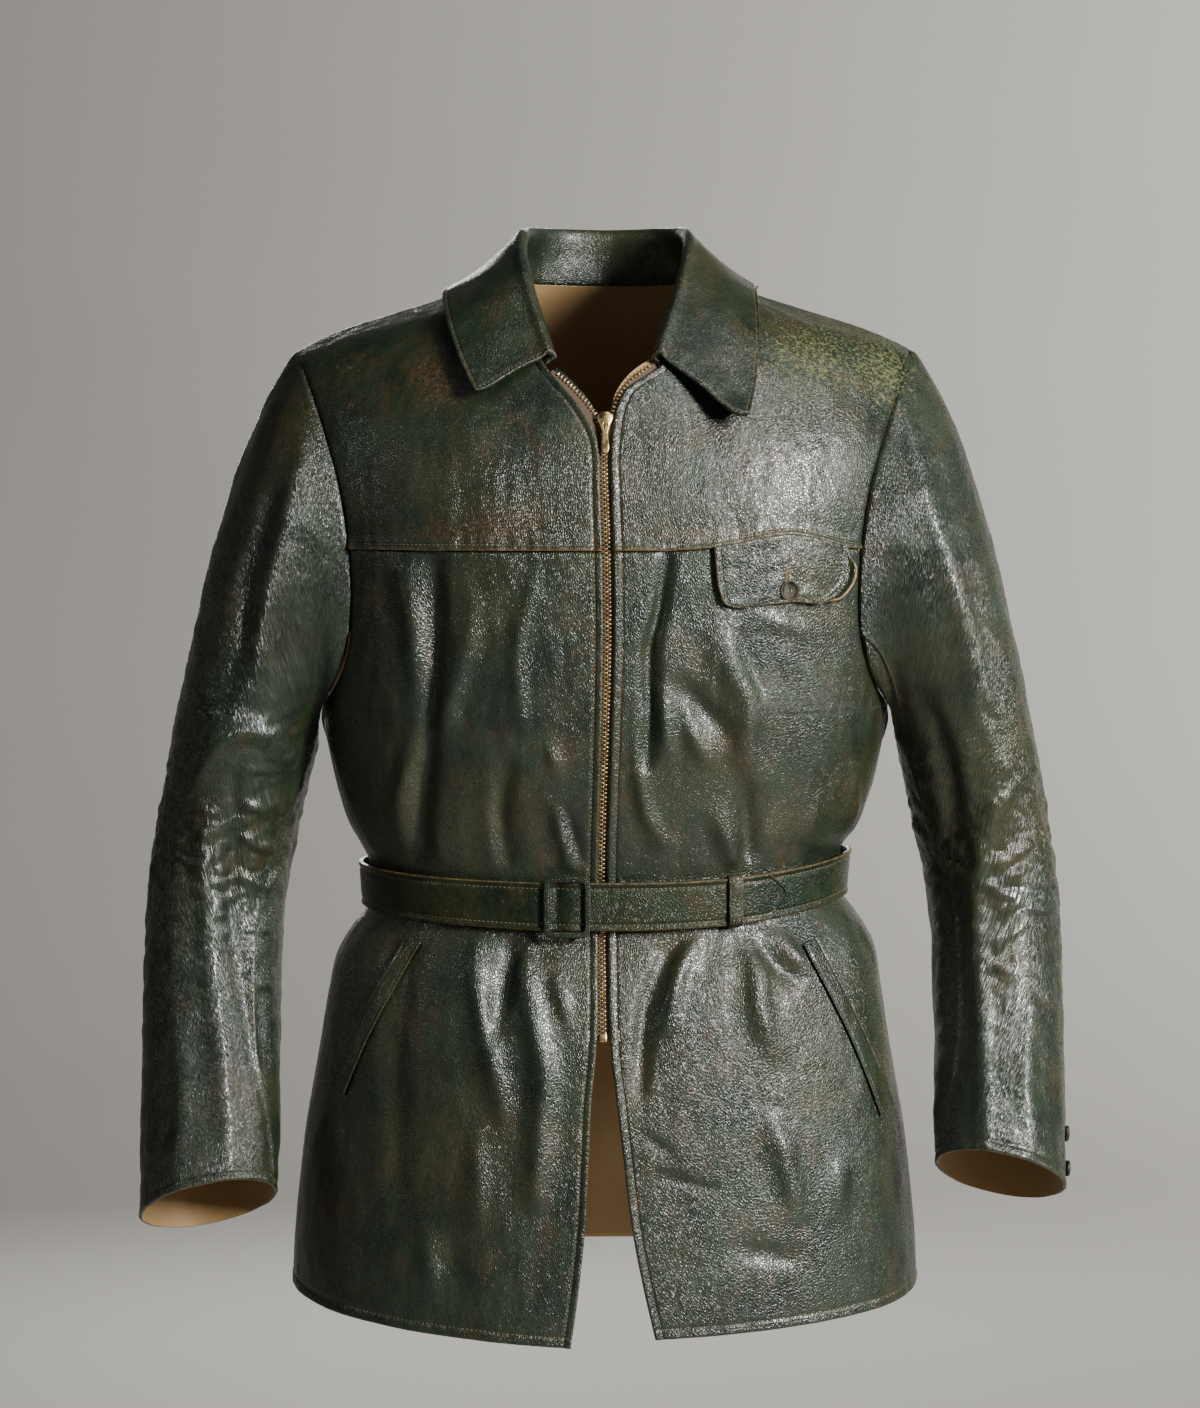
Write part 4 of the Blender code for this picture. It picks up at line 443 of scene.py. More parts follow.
def lengths(points):
    """Lengths along a line from its first point, at each of its points."""
    gaps = np.linalg.norm(np.diff(points, axis=0), axis=1)
    return np.concatenate([[0], np.cumsum(gaps)])


def lumps(points, size, seed):
    """Smooth unevenness between about -1 and 1, in lumps of that size."""
    place = points / size + seed * 7.31
    cell = np.floor(place).astype(np.int64)
    inside = place - cell
    weight = inside ** 3 * (inside * (inside * 6 - 15) + 10)
    total = np.zeros(points.shape[:-1])
    for corner in np.ndindex(2, 2, 2):
        c = cell + np.array(corner)
        code = c[..., 0] * 73856093 ^ c[..., 1] * 19349663 ^ c[..., 2] * 83492791
        code = (code ^ (code >> 13)) * 1274126177 + seed * 97
        code = code ^ (code >> 16)
        lean = np.stack([(code >> s & 255) / 127.5 - 1 for s in (0, 8, 16)], -1)
        share = np.where(np.array(corner) == 1, weight, 1 - weight).prod(-1)
        total += (lean * (inside - np.array(corner))).sum(-1) * share
    return total * 1.6


# --- the torso's form -------------------------------------------------------------------

def belt_lift(x):
    """How far the belt rides up, from its middle towards the sides."""
    lift = np.where(np.asarray(x) > 0, BELT_LIFT[LEFT], BELT_LIFT[RIGHT])
    return lift * np.minimum(np.abs(x) / BELT_REACH, 1.0) ** 2.5


def waist_shift(x, z):
    """The waist follows the belt, which rides up towards the sides."""
    near = 1 - ease((np.abs(np.asarray(z, float) - BELT_Z) - 0.03) / 0.07)
    return belt_lift(x) * near


def half_width(z, side):
    """Half width of the torso's form on one side."""
    return read(TORSO, "z", "half_width", z - waist_shift(side, z))


def ridge(x):
    return read(RIDGE, "x", "z", np.abs(x))


def torso_y(x, z, face):
    """The y of the torso's front or back at a place in front view."""
    at = z - waist_shift(x, z)
    depth = read(TORSO, "z", "front" if face == FRONT else "back", at)
    out = np.abs(x) / read(TORSO, "z", "half_width", at)
    across = np.clip(1 - out ** SQUARENESS, 0, 1) ** (1 / SQUARENESS)
    rise = np.clip((z - YOKE_Z) / (ridge(x) - YOKE_Z), 0, 1)
    bend = SHOULDER_BEND[face]
    stay = (1 - rise ** bend.rise) ** (1 / bend.fall)
    return RIDGE_Y + (face * depth * across - RIDGE_Y) * stay


def climb(x, z):
    """How far a place has climbed from the yoke line (0) to the shoulder line (1)."""
    share = np.clip((z - YOKE_Z) / (ridge(x) - YOKE_Z), 0, 1)
    return np.arcsin(share) * 2 / math.pi


def climbed_z(x, climbed):
    return YOKE_Z + (ridge(x) - YOKE_Z) * np.sin(climbed * math.pi / 2)


# --- grids of points: rows from bottom to top, columns from the middle out ---------------

def front_edge(side, z):
    """How far from the middle a front's inner edge runs."""
    return read(FRONT_EDGE, "z", SIDE_NAMES[side], z)


def armhole_edge(face, z):
    """How far from the middle the armhole runs."""
    return read(ARMHOLE, "z", "front" if face == FRONT else "back", z)


def lower_front(side):
    """The lower front in front view, from the hem to the yoke seam."""
    share = np.linspace(0, 1, FRONT_COLUMNS + 1)
    rows = []
    for edge_z in SIDE_ROWS + FRONT_ARM_ROWS:
        drop = HEM_DROP[side] * (1 - share) * ease((HEM_DROP_FROM_Z - edge_z) / 0.12)
        rise = YOKE_LIFT[side] * bell(share - 0.62, 0.24) * (1 - share ** 6)
        rise = rise * ease((edge_z - YOKE_LIFT_FROM_Z) / (YOKE_Z - YOKE_LIFT_FROM_Z))
        z = edge_z - drop + rise
        half = half_width(z + waist_shift(side, edge_z), side)
        outer = half if edge_z <= ARMHOLE_Z else armhole_edge(FRONT, edge_z) * np.ones_like(z)
        power = SQUARENESS / 2
        start = np.arccos((front_edge(side, z) / half) ** power)
        stop = np.arccos(np.clip(outer / half, 0, 1) ** power)
        x = half * np.clip(np.cos(start + (stop - start) * share), 0, 1) ** (1 / power)
        rows.append(np.stack([x, z + waist_shift(side * x, edge_z)], -1))
    return np.array(rows)


def yoke(side, below):
    """The yoke in front view. Its lowest row is the lower front's highest."""
    inner_x, outer_x = below[0, 0], below[-1, 0]
    share = (below[:, 0] - inner_x) / (outer_x - inner_x)
    lift = climb(below[:, 0], below[:, 1])
    rows = [below]
    for r in range(1, len(YOKE_ARM_ROWS)):
        neck = NECKLINE[side][r]
        arm_x = float(armhole_edge(FRONT, YOKE_ARM_ROWS[r]))
        last = r == len(YOKE_ARM_ROWS) - 1
        start = 1.0 if last else climb(neck.x, neck.z)
        stop = 1.0 if last else climb(arm_x, YOKE_ARM_ROWS[r])
        x = neck.x + (arm_x - neck.x) * share
        climbed = start + (stop - start) * share + lift * (1 - r / (len(YOKE_ARM_ROWS) - 1)) ** 2
        rows.append(np.stack([x, climbed_z(x, np.clip(climbed, 0, 1))], -1))
    return np.array(rows)


def back_neck_z(x):
    side_z = float(ridge(NECK_X))
    return BACK_NECK_Z + (side_z - BACK_NECK_Z) * (np.abs(x) / NECK_X) ** 3


def back(yoke_share):
    """The back in front view, with columns from the right armhole to the left one."""
    shoulder = (NECK_X + (SHOULDER_X - NECK_X) * yoke_share) / SHOULDER_X
    neck = np.linspace(0, NECK_X / SHOULDER_X, BACK_NECK_COLUMNS + 1)
    half = np.concatenate([neck[:-1], shoulder])
    share = np.concatenate([-half[::-1], half[1:]])
    top_x = share * SHOULDER_X
    in_neck = np.abs(top_x) < NECK_X - 1e-6
    reach = np.where(in_neck, climb(top_x, back_neck_z(top_x)), 1.0)
    rows = []
    for edge_z in SIDE_ROWS + BACK_ARM_ROWS:
        if edge_z <= ARMHOLE_Z:
            left, right = (half_width(edge_z + waist_shift(s, edge_z), s) for s in (LEFT, RIGHT))
            x = np.where(share > 0, left, right) * share
            z = edge_z + waist_shift(x, edge_z)
        else:
            edge_x = float(armhole_edge(BACK, edge_z))
            x = edge_x * share
            last = edge_z == BACK_ARM_ROWS[-1]
            climbed = 1.0 if last else float(climb(edge_x, edge_z))
            z = climbed_z(x, climbed * reach) if edge_z > YOKE_Z else np.full(share.shape, edge_z)
        rows.append(np.stack([x, z], -1))
    return np.array(rows)


def on_torso(flat, side, face):
    """Puts a grid drawn in front view on the torso."""
    x, z = side * flat[..., 0], flat[..., 1]
    return np.stack([x, torso_y(x, z, face), z], -1)


# --- sleeves ----------------------------------------------------------------------------

def ring_points(side, z, angles):
    """Points round the arm at a height of the centreline, and the centreline's direction."""
    cuff = CUFFS[side]
    step = 0.004
    centre, below = (
        np.array([float(read(SLEEVE, "z", "x", at)), float(read(SLEEVE, "z", "y", at)), at])
        for at in (z, z - step)
    )
    down = unit(below - centre)
    out = unit(np.array([1.0, 0, 0]) - down * down[0])
    fore = np.cross(out, down)
    fore = fore * -np.sign(fore[1])
    half_w = float(read(SLEEVE, "z", "half_width", z)) * cuff.width_share
    half_d = float(read(SLEEVE, "z", "half_depth", z))
    turn = np.radians(angles)
    points = centre + np.cos(turn)[:, None] * out * half_w + np.sin(turn)[:, None] * fore * half_d
    points[:, 2] -= cuff.tilt * np.cos(turn) * ease((-0.50 - z) / (-0.50 - cuff.z))
    return points, down


def sleeve_grid(side, loop):
    """Rings from the armhole's loop to the cuff; the last column repeats the first."""
    low = int(np.argmin(loop[:, 2]))
    front, rear = lengths(loop[:low + 1]), lengths(loop[low:])
    angles = np.concatenate([180 * front / front[-1], 180 + 180 * rear[1:] / rear[-1]])
    seams = (angles[FRONT_SEAM_COLUMN], angles[BACK_SEAM_COLUMN])

    def turned(z):
        front_turn = read(SLEEVE_SEAMS, "z", "front", z)
        rear_turn = read(SLEEVE_SEAMS, "z", SIDE_NAMES[side], z)
        return np.interp(angles, [0, *seams, 360], [0, front_turn, rear_turn, 360])

    rows = [loop]
    end, down = ring_points(side, BICEPS_Z, turned(BICEPS_Z))
    leave = unit(np.stack([
        read(DEPARTURES, "angle", "out", angles),
        -read(DEPARTURES, "angle", "fore", angles),
        -read(DEPARTURES, "angle", "down", angles),
    ], -1))
    chord = np.linalg.norm(end - loop, axis=1)[:, None]
    for t in CAP_ROWS:
        first = (1 + 2 * t) * (1 - t) ** 2 * loop + t * (1 - t) ** 2 * leave * chord * 0.75
        second = t * t * (3 - 2 * t) * end + t * t * (t - 1) * down * chord * 0.95
        rows.append(first + second)
    for k in range(1, ARM_ROWS + 1):
        z = BICEPS_Z + (CUFFS[side].z - BICEPS_Z) * k / ARM_ROWS
        rows.append(ring_points(side, z, turned(z))[0])
    return np.array(rows)


def sewn_panels():
    """Every panel of the body as a grid on its own form, before its folds."""
    grids, shares = {}, []
    for side, word in SIDE_NAMES.items():
        flat = lower_front(side)
        above = yoke(side, flat[-1])
        grids[f"front_{word}"] = on_torso(flat, side, FRONT)
        grids[f"front_yoke_{word}"] = on_torso(above, side, FRONT)
        seam_x = flat[-1, :, 0]
        shares.append((seam_x - seam_x[0]) / (seam_x[-1] - seam_x[0]))
    grids["back"] = on_torso(back(sum(shares) / 2), 1, BACK)
    for side, word in SIDE_NAMES.items():
        shoulders = grids["back"][-1] if side == RIGHT else grids["back"][-1, ::-1]
        grids[f"front_yoke_{word}"][-1] = shoulders[FRONT_COLUMNS::-1]
    return grids


def armhole_loop(grids, side):
    """The armhole's edge from the shoulder down the front and up the back."""
    word = SIDE_NAMES[side]
    start = len(SIDE_ROWS) - 1
    yoke_edge = grids[f"front_yoke_{word}"][::-1, -1]
    front = grids[f"front_{word}"][start:-1, -1][::-1]
    rear = grids["back"][start + 1:, -1 if side == LEFT else 0]
    return np.concatenate([yoke_edge, front, rear])


# --- fine grids -------------------------------------------------------------------------

def run_lengths(grid, axis):
    """Lengths along a grid's rows (0) or columns (1) from its first one, at every point."""
    gaps = np.linalg.norm(np.diff(grid[..., :3], axis=axis), axis=-1)
    start = np.zeros_like(np.take(gaps, [0], axis=axis))
    return np.concatenate([start, np.cumsum(gaps, axis=axis)], axis=axis)


def finer(grid, step):
    """A coarse grid as a fine one, with its rows and columns close together at the edges."""
    for _ in range(2):
        keys = run_lengths(grid, 0).mean(axis=1)
        steps = EDGE_STEPS * min(1.0, 0.35 * keys[-1] / EDGE_STEPS[-1])
        count = max(3, round((keys[-1] - 2 * steps[-1]) / step) + 1)
        middle = np.linspace(steps[-1], keys[-1] - steps[-1], count)
        places = np.concatenate([steps[:-1], middle, keys[-1] - steps[-2::-1]])
        grid = through(grid, keys, places).swapaxes(0, 1)
    return grid


class Panel:
    """A cut piece as a fine grid. Its edges are low, top, near and far: the first and last
    row, and the first and last column."""

    def __init__(self, coarse, guide, step=GRID):
        fine = finer(np.asarray(coarse, float), step)
        self.points = fine
        self.flip = 1.0
        self.flip = float(np.sign((self.normals() * guide(self.points)).sum()))
        up, across = run_lengths(fine, 0), run_lengths(fine, 1)
        self.edge = {"low": up, "top": up[-1] - up, "near": across, "far": across[:, -1:] - across}
        self.marks = {name: np.zeros(up.shape) for name in ("wear", "brown", "scuff")}

    def normals(self):
        across = np.gradient(self.points, axis=1)
        along = np.gradient(self.points, axis=0)
        return unit(np.cross(across, along)) * self.flip

    def lift(self, height):
        self.points = self.points + self.normals() * height[..., None]

    def outwards(self, edge):
        """Directions along the leather, across an edge and out over it."""
        way = unit(np.gradient(self.points, axis=0 if edge in ("low", "top") else 1))
        return way * (-1 if edge in ("low", "near") else 1)

    def keep_form(self):
        """Keeps what the inner face, and what lies on the panel, are measured from."""
        self.form, self.inward = self.points, self.normals()

    def line(self, edge, inset):
        """Points and normals of a line on the piece, inset from one of its edges."""
        distance, points, normals = self.edge[edge], self.points, self.normals()
        if edge in ("near", "far"):
            distance, points, normals = distance.T, points.swapaxes(0, 1), normals.swapaxes(0, 1)
        if edge in ("top", "far"):
            distance, points, normals = distance[::-1], points[::-1], normals[::-1]
        row = np.maximum(np.argmax(distance >= inset, axis=0), 1)
        column = np.arange(points.shape[1])
        below, above = distance[row - 1, column], distance[row, column]
        share = ((inset - below) / (above - below))[:, None]
        line = points[row - 1, column] * (1 - share) + points[row, column] * share
        return line, normals[row, column]

    def solid(self, name, wall, every, lining, finish):
        """The finished piece: a fine outer face, a coarser inner one and the rim between."""
        outer = self.points
        inner = self.form - self.inward * wall
        rows, columns = outer.shape[:2]
        r_at = np.unique([*range(0, rows, every), rows - 1])
        c_at = np.unique([*range(0, columns, every), columns - 1])
        inner = inner[np.ix_(r_at, c_at)]
        number = np.arange(rows * columns).reshape(rows, columns)
        within = rows * columns + np.arange(inner[..., 0].size).reshape(inner.shape[:2])
        faces = quads(number).tolist() + quads(within)[:, ::-1].tolist()
        kinds = [0] * (rows - 1) * (columns - 1) + [1] * (len(r_at) - 1) * (len(c_at) - 1)
        rims = [
            (number[0], within[0], c_at, 1), (number[-1], within[-1], c_at, -1),
            (number[:, 0], within[:, 0], r_at, -1), (number[:, -1], within[:, -1], r_at, 1),
        ]
        for fine, coarse, at, turn in rims:
            for k in range(len(at) - 1):
                face = [coarse[k], coarse[k + 1], *fine[at[k]:at[k + 1] + 1][::-1]]
                faces.append([int(v) for v in face[::turn]])
                kinds.append(0)
        if self.flip < 0:
            faces = [face[::-1] for face in faces]
        points = np.concatenate([outer.reshape(-1, 3), inner.reshape(-1, 3)])
        made = mesh_piece(name, points, faces)
        flat = np.stack([self.edge["near"], self.edge["low"]], -1)
        flat = np.concatenate([flat.reshape(-1, 2), flat[np.ix_(r_at, c_at)].reshape(-1, 2)])
        lay_flat(made, flat)
        for mark, values in self.marks.items():
            store = made.data.attributes.new(mark, "FLOAT", "POINT")
            whole = np.zeros(len(points), np.float32)
            whole[:outer[..., 0].size] = np.clip(values, 0, 1).ravel()
            store.data.foreach_set("value", whole)
        made.data.polygons.foreach_set("material_index", np.array(kinds, np.int32))
        made.data.materials.append(finish)
        made.data.materials.append(lining)
        return made


def quads(number):
    """The four-sided faces of a grid of point numbers."""
    below, above = number[:-1], number[1:]
    return np.stack([below[:, :-1], below[:, 1:], above[:, 1:], above[:, :-1]], -1).reshape(-1, 4)


def mesh_piece(name, points, faces):
    mesh = bpy.data.meshes.new(name)
    mesh.from_pydata(np.asarray(points).tolist(), [], faces)
    mesh.polygons.foreach_set("use_smooth", np.ones(len(mesh.polygons), bool))
    made = bpy.data.objects.new(name, mesh)
    bpy.context.scene.collection.objects.link(made)
    return made


def lay_flat(made, flat):
    """Gives each point of a piece its place on the flat leather, in metres."""
    corners = np.zeros(len(made.data.loops), np.int32)
    made.data.loops.foreach_get("vertex_index", corners)
    layer = made.data.uv_layers.new(name="UVMap")
    layer.data.foreach_set("uv", flat[corners].ravel().astype(np.float32))


# --- folds, seams and edges -------------------------------------------------------------

def line_gap(x, z, line):
    """Distance in front view to a smooth line through some points, and the place along it."""
    line = np.array(line) / 1000
    keys = lengths(line)
    bent = through(line, keys, np.linspace(0, keys[-1], 4 * len(line)))
    best, place = np.full(x.shape, 9.0), np.zeros(x.shape)
    for k, (start, end) in enumerate(zip(bent, bent[1:])):
        dx, dz = end - start
        share = np.clip(((x - start[0]) * dx + (z - start[1]) * dz) / (dx * dx + dz * dz), 0, 1)
        gap = np.hypot(x - start[0] - share * dx, z - start[1] - share * dz)
        place = np.where(gap < best, (k + share) / (len(bent) - 1), place)
        best = np.minimum(gap, best)
    return best, place


def crease_height(points, creases):
    """Height of the creases at some points. Each crease fades out towards its ends."""
    x, z = points[..., 0], points[..., 2]
    total = np.zeros(x.shape)
    for crease in creases:
        gap, place = line_gap(x, z, crease.line)
        swell = np.sin(math.pi * (0.12 + 0.76 * place)) ** 0.8
        total += crease.height / 1000 * swell * bell(gap, crease.width / 1000)
    return total * CREASE_STRENGTH


def belt_line(x):
    """Height of the belt's middle line."""
    return BELT_Z - 0.0015 + belt_lift(x)


def torso_folds(panel, face, seams):
    """The draped folds of a torso panel. They die out at the seams named."""
    points = panel.points
    x, z = points[..., 0], points[..., 2]
    height = crease_height(points, FRONT_CREASES if face == FRONT else BACK_CREASES)
    height += 0.0012 * lumps(points * [1, 1, 0.5], 0.052, 3)
    height += 0.0006 * lumps(points * [1, 1, 0.6], 0.019, 5)
    height += 0.0004 * lumps(points * [1, 1, 0.35], 0.009, 6)
    beside = np.maximum(np.abs(z - belt_line(x)) - BELT_HEIGHT / 2, 0)
    drawn_in = lumps(points * [1, 0.8, 0.15], 0.017, 7 + face)
    height += 0.0021 * drawn_in * np.exp(-beside / 0.028) * ease(beside / 0.014)
    height *= 0.04 + 0.96 * ease((beside - 0.001) / 0.016)
    for edge in seams:
        height *= ease(panel.edge[edge] / 0.028)
    if face == FRONT:
        height *= 0.15 + 0.85 * ease((np.abs(x) - 0.010) / 0.018)
    panel.lift(height)


def edge_work(panel, kinds, seed):
    """Rolled, lapped and stitched edges, with the puckers that stitches draw."""
    height = np.zeros(panel.points.shape[:2])
    for name, kind in kinds.items():
        edge, gap = EDGES[kind], panel.edge[name]
        run = panel.edge["low" if name in ("near", "far") else "near"]
        height += edge.rise / 1000 * bell(gap, edge.reach / 1000)
        height -= edge.roll / 1000 * np.clip(1 - gap / 0.0013, 0, 1) ** 2
        if edge.stitch:
            height -= 0.0008 * bell(gap - edge.stitch / 1000, 0.0009)
        along = np.stack([run, gap * 0.35, np.zeros_like(run)], -1)
        drawn = lumps(along, 0.0048, seed + len(name))
        height += edge.pucker / 1000 * drawn * bell(gap - edge.stitch / 1000, 0.008)
        worn = edge.wear * np.maximum(bell(gap, 0.0014), 0.55 * bell(gap, edge.reach / 1000))
        panel.marks["wear"] = np.maximum(panel.marks["wear"], worn)
    panel.lift(height)


def tucked(panel, edge):
    """Runs the last of a piece under its neighbour, so that no light comes through a seam."""
    width, depth = 0.0022, 0.0012
    share = np.clip(1 - panel.edge[edge] / width, 0, 1)[..., None]
    under = panel.outwards(edge) * share * width - panel.inward * share * depth
    panel.points = panel.points + under


def stains(panel):
    """Brown, polished patches and yellow scuffs, where hands, sleeves and hangers rub."""
    points = panel.points
    x, z = points[..., 0] * 1000, points[..., 2] * 1000
    facing = ease(0.5 - panel.normals()[..., 1] * 1.4)
    for spot in SPOTS:
        gap = np.hypot((x - spot.x) / spot.wide, (z - spot.z) / spot.tall)
        panel.marks[spot.mark] = panel.marks[spot.mark] + spot.amount * facing * np.exp(-gap ** 2)


def drawn_out(panel, edge, fold, amounts, reach):
    """Lengthens the collar's leaf beyond its front edge, by amounts from fold to tip."""
    share = np.linspace(0, 1, panel.points.shape[1])[None, :]
    down_leaf = np.clip((share - fold) / (1 - fold), 0, 1)
    more = through(amounts, np.linspace(0, 1, len(amounts)), down_leaf) * ease(share / fold)
    more = more * np.exp(-(panel.edge[edge] / reach) ** 2)
    panel.points = panel.points + panel.outwards(edge) * more[..., None]


def rounded(panel, first, second, radius):
    """Rounds the corner between two edges of a panel."""
    near = {edge: np.clip(1 - panel.edge[edge] / radius, 0, 1) for edge in (first, second)}
    for edge, other in ((first, second), (second, first)):
        shift = radius * (near[edge] - near[edge] * np.sqrt(1 - near[other] ** 2 / 2))
        panel.points = panel.points - panel.outwards(edge) * shift[..., None]


# --- collar -----------------------------------------------------------------------------

def over_shoulder(x, turn, lift):
    """A point on the torso by x and by its turn over the shoulder line."""
    z = climbed_z(x, 1 - abs(turn))
    face = FRONT if turn < 0 else BACK
    y = torso_y(x, z, face)
    rim = np.array([0.25, face * abs(turn) ** 0.6, 1 - abs(turn) * 0.8])
    return np.array([x, y, z]) + unit(rim) * lift


def collar_profile(side, neck, row):
    """The collar's section at one place: neck seam, stand, fold, leaf."""
    mirror = np.array([side, 1, 1])
    fold = np.array([row.fold_x, row.fold_y, row.fold_z])
    edge = over_shoulder(row.edge_x, row.turn, row.lift + COLLAR_WALL)
    neck = neck * mirror
    axis = np.array([0, 0.004, 0])
    away = unit((neck - axis) * np.array([1, 1, 0]))
    neck = neck - away * (COLLAR_WALL / 2 + SEAM_GAP * 2.0) + np.array([0, 0, -0.0005])
    leaf_way = unit((edge - fold) * np.array([1, 1, 0.2]))
    low = np.array([0, 0, FOLD_RADIUS * 0.9])
    inside = fold - leaf_way * FOLD_RADIUS - low
    outside = fold + leaf_way * FOLD_RADIUS - low
    points = [neck, (neck + inside) / 2, inside, fold, outside]
    for k in range(1, LEAF_STEPS + 1):
        share = k / LEAF_STEPS
        bulge = row.puff * math.sin(math.pi * share)
        points.append(outside + (edge - outside) * share + np.array([0, 0, bulge]))
    return np.array(points) * mirror


# --- zip --------------------------------------------------------------------------------

def chain_line(side):
    """Points along the chain in front view: the panel's rows, then the open neck."""
    heights = [z for z in SIDE_ROWS + FRONT_ARM_ROWS if ZIP_END_Z < z]
    heights = [ZIP_END_Z, *heights, -0.150, -0.120]
    straight = [(CHAIN[side][0].x, z) for z in heights]
    return np.array(straight + [(p.x, p.z) for p in CHAIN[side][1:]])


def away_from_neck(line):
    """Directions in front view, square to the chain and away from the opening."""
    along = unit(np.gradient(line, axis=0))
    return np.stack([along[:, 1], -along[:, 0]], -1)


def zip_matrix():
    """Axes at the slider: x, down the zip, and out of the chest."""
    middle, lower = (
        np.array([0.0, float(torso_y(0.0, z, FRONT)), z]) for z in (SLIDER_Z, SLIDER_Z - 0.004)
    )
    down = Vector(unit(lower - middle))
    out = Vector((-1, 0, 0)).cross(down)
    return Matrix.Translation(Vector(middle)) @ Matrix(
        ((-1, down.x, out.x), (0, down.y, out.y), (0, down.z, out.z))
    ).to_4x4()


# --- belt -------------------------------------------------------------------------------

def belt_stations():
    """The strap's way, from its buckle end round the left side and the back to its tip."""
    quarter = np.linspace(0, math.pi / 2, BELT_STEPS + 1)

    def across(turn):
        return BELT_REACH * max(math.cos(turn), 0.0) ** (2 / SQUARENESS)

    stations = [(UNDER_END_X, FRONT, 0)]
    stations += [(across(t), FRONT, 0) for t in quarter[::-1] if across(t) > UNDER_END_X + 0.012]
    stations += [(across(t), BACK, 0) for t in quarter[1:]]
    stations += [(-across(t), BACK, 0) for t in quarter[-2::-1]]
    stations += [(-across(t), FRONT, 0) for t in quarter[1:] if across(t) > 0.085]
    stations += [(-0.078, FRONT, 0), (-0.060, FRONT, 0.5), (-0.045, FRONT, 1), (-0.025, FRONT, 1)]
    over = np.linspace(0.0, TIP_X - TIP_LENGTH, 6)
    stations += [(x, FRONT, 1) for x in over]
    return stations


def belt_point(x, face, level, share, lift=0.0):
    """A point on the strap's inner side; share runs from its lower to its upper edge."""
    half, power = BELT_REACH, SQUARENESS
    out = min(abs(x) / half, 1.0)
    height = BELT_HEIGHT + (BELT_SIDE_HEIGHT - BELT_HEIGHT) * out ** 2
    z = float(belt_line(x)) + (share - 0.5) * height
    depth = float(read(TORSO, "z", "front" if face == FRONT else "back", BELT_Z))
    flat_y = face * depth * max(1 - out ** power, 0.0) ** (1 / power)
    slope_x = (abs(x) / half) ** (power - 1) / half
    slope_y = face * (abs(flat_y) / depth) ** (power - 1) / depth
    normal = unit(np.array([slope_x * (1 if x >= 0 else -1), slope_y, 0.0]))
    flare = 0.0012 * (2 * share - 1) * out ** 6
    base = BELT_GAP + level * (BELT_WALL + SEAM_GAP) + flare
    return np.array([x, flat_y, z]) + normal * (base + lift), normal


# --- the sewn body ----------------------------------------------------------------------

def outward_by(face):
    """Tells a panel that its outer side is that of the front or of the back."""
    return lambda points: np.array([0.0, face, 0.0])


def swayed(points):
    """The zip wavers a little from side to side, and the fronts go with it."""
    heights, shifts = np.array(SWAY).T
    moved = points.copy()
    shift = through(shifts, heights, points[..., 2])
    moved[..., 0] += shift * bell(points[..., 0], 0.030) * (points[..., 1] < 0)
    return moved


def make_front(side, word, grids):
    """The lower front and the yoke of one side."""
    lower = Panel(swayed(grids[f"front_{word}"]), outward_by(FRONT))
    torso_folds(lower, FRONT, ["far"])
    lower.keep_form()
    edge_work(lower, {"near": "front", "low": "hem", "top": "under", "far": "seam"}, 11 + side)
    tucked(lower, "top")
    stains(lower)
    above = Panel(swayed(grids[f"front_yoke_{word}"]), outward_by(FRONT))
    torso_folds(above, FRONT, ["far", "top"])
    above.keep_form()
    edge_work(above, {"near": "front", "low": "lap", "top": "seam", "far": "seam"}, 21 + side)
    stains(above)
    return lower, above


def make_back(grids):
    """The back, in one piece."""
    panel = Panel(grids["back"], outward_by(BACK), 0.0026)
    torso_folds(panel, BACK, ["near", "far", "top"])
    panel.keep_form()
    edge_work(panel, {"low": "hem", "top": "seam", "near": "seam", "far": "seam"}, 31)
    return panel


def sleeve_centre(points):
    """The nearest place on the sleeve's centreline, for each point."""
    z = np.clip(points[..., 2], SLEEVE[0].z, SLEEVE[-1].z)
    x = read(SLEEVE, "z", "x", z) * np.sign(points[..., :1].mean())
    return np.stack([x, read(SLEEVE, "z", "y", z), points[..., 2]], -1)


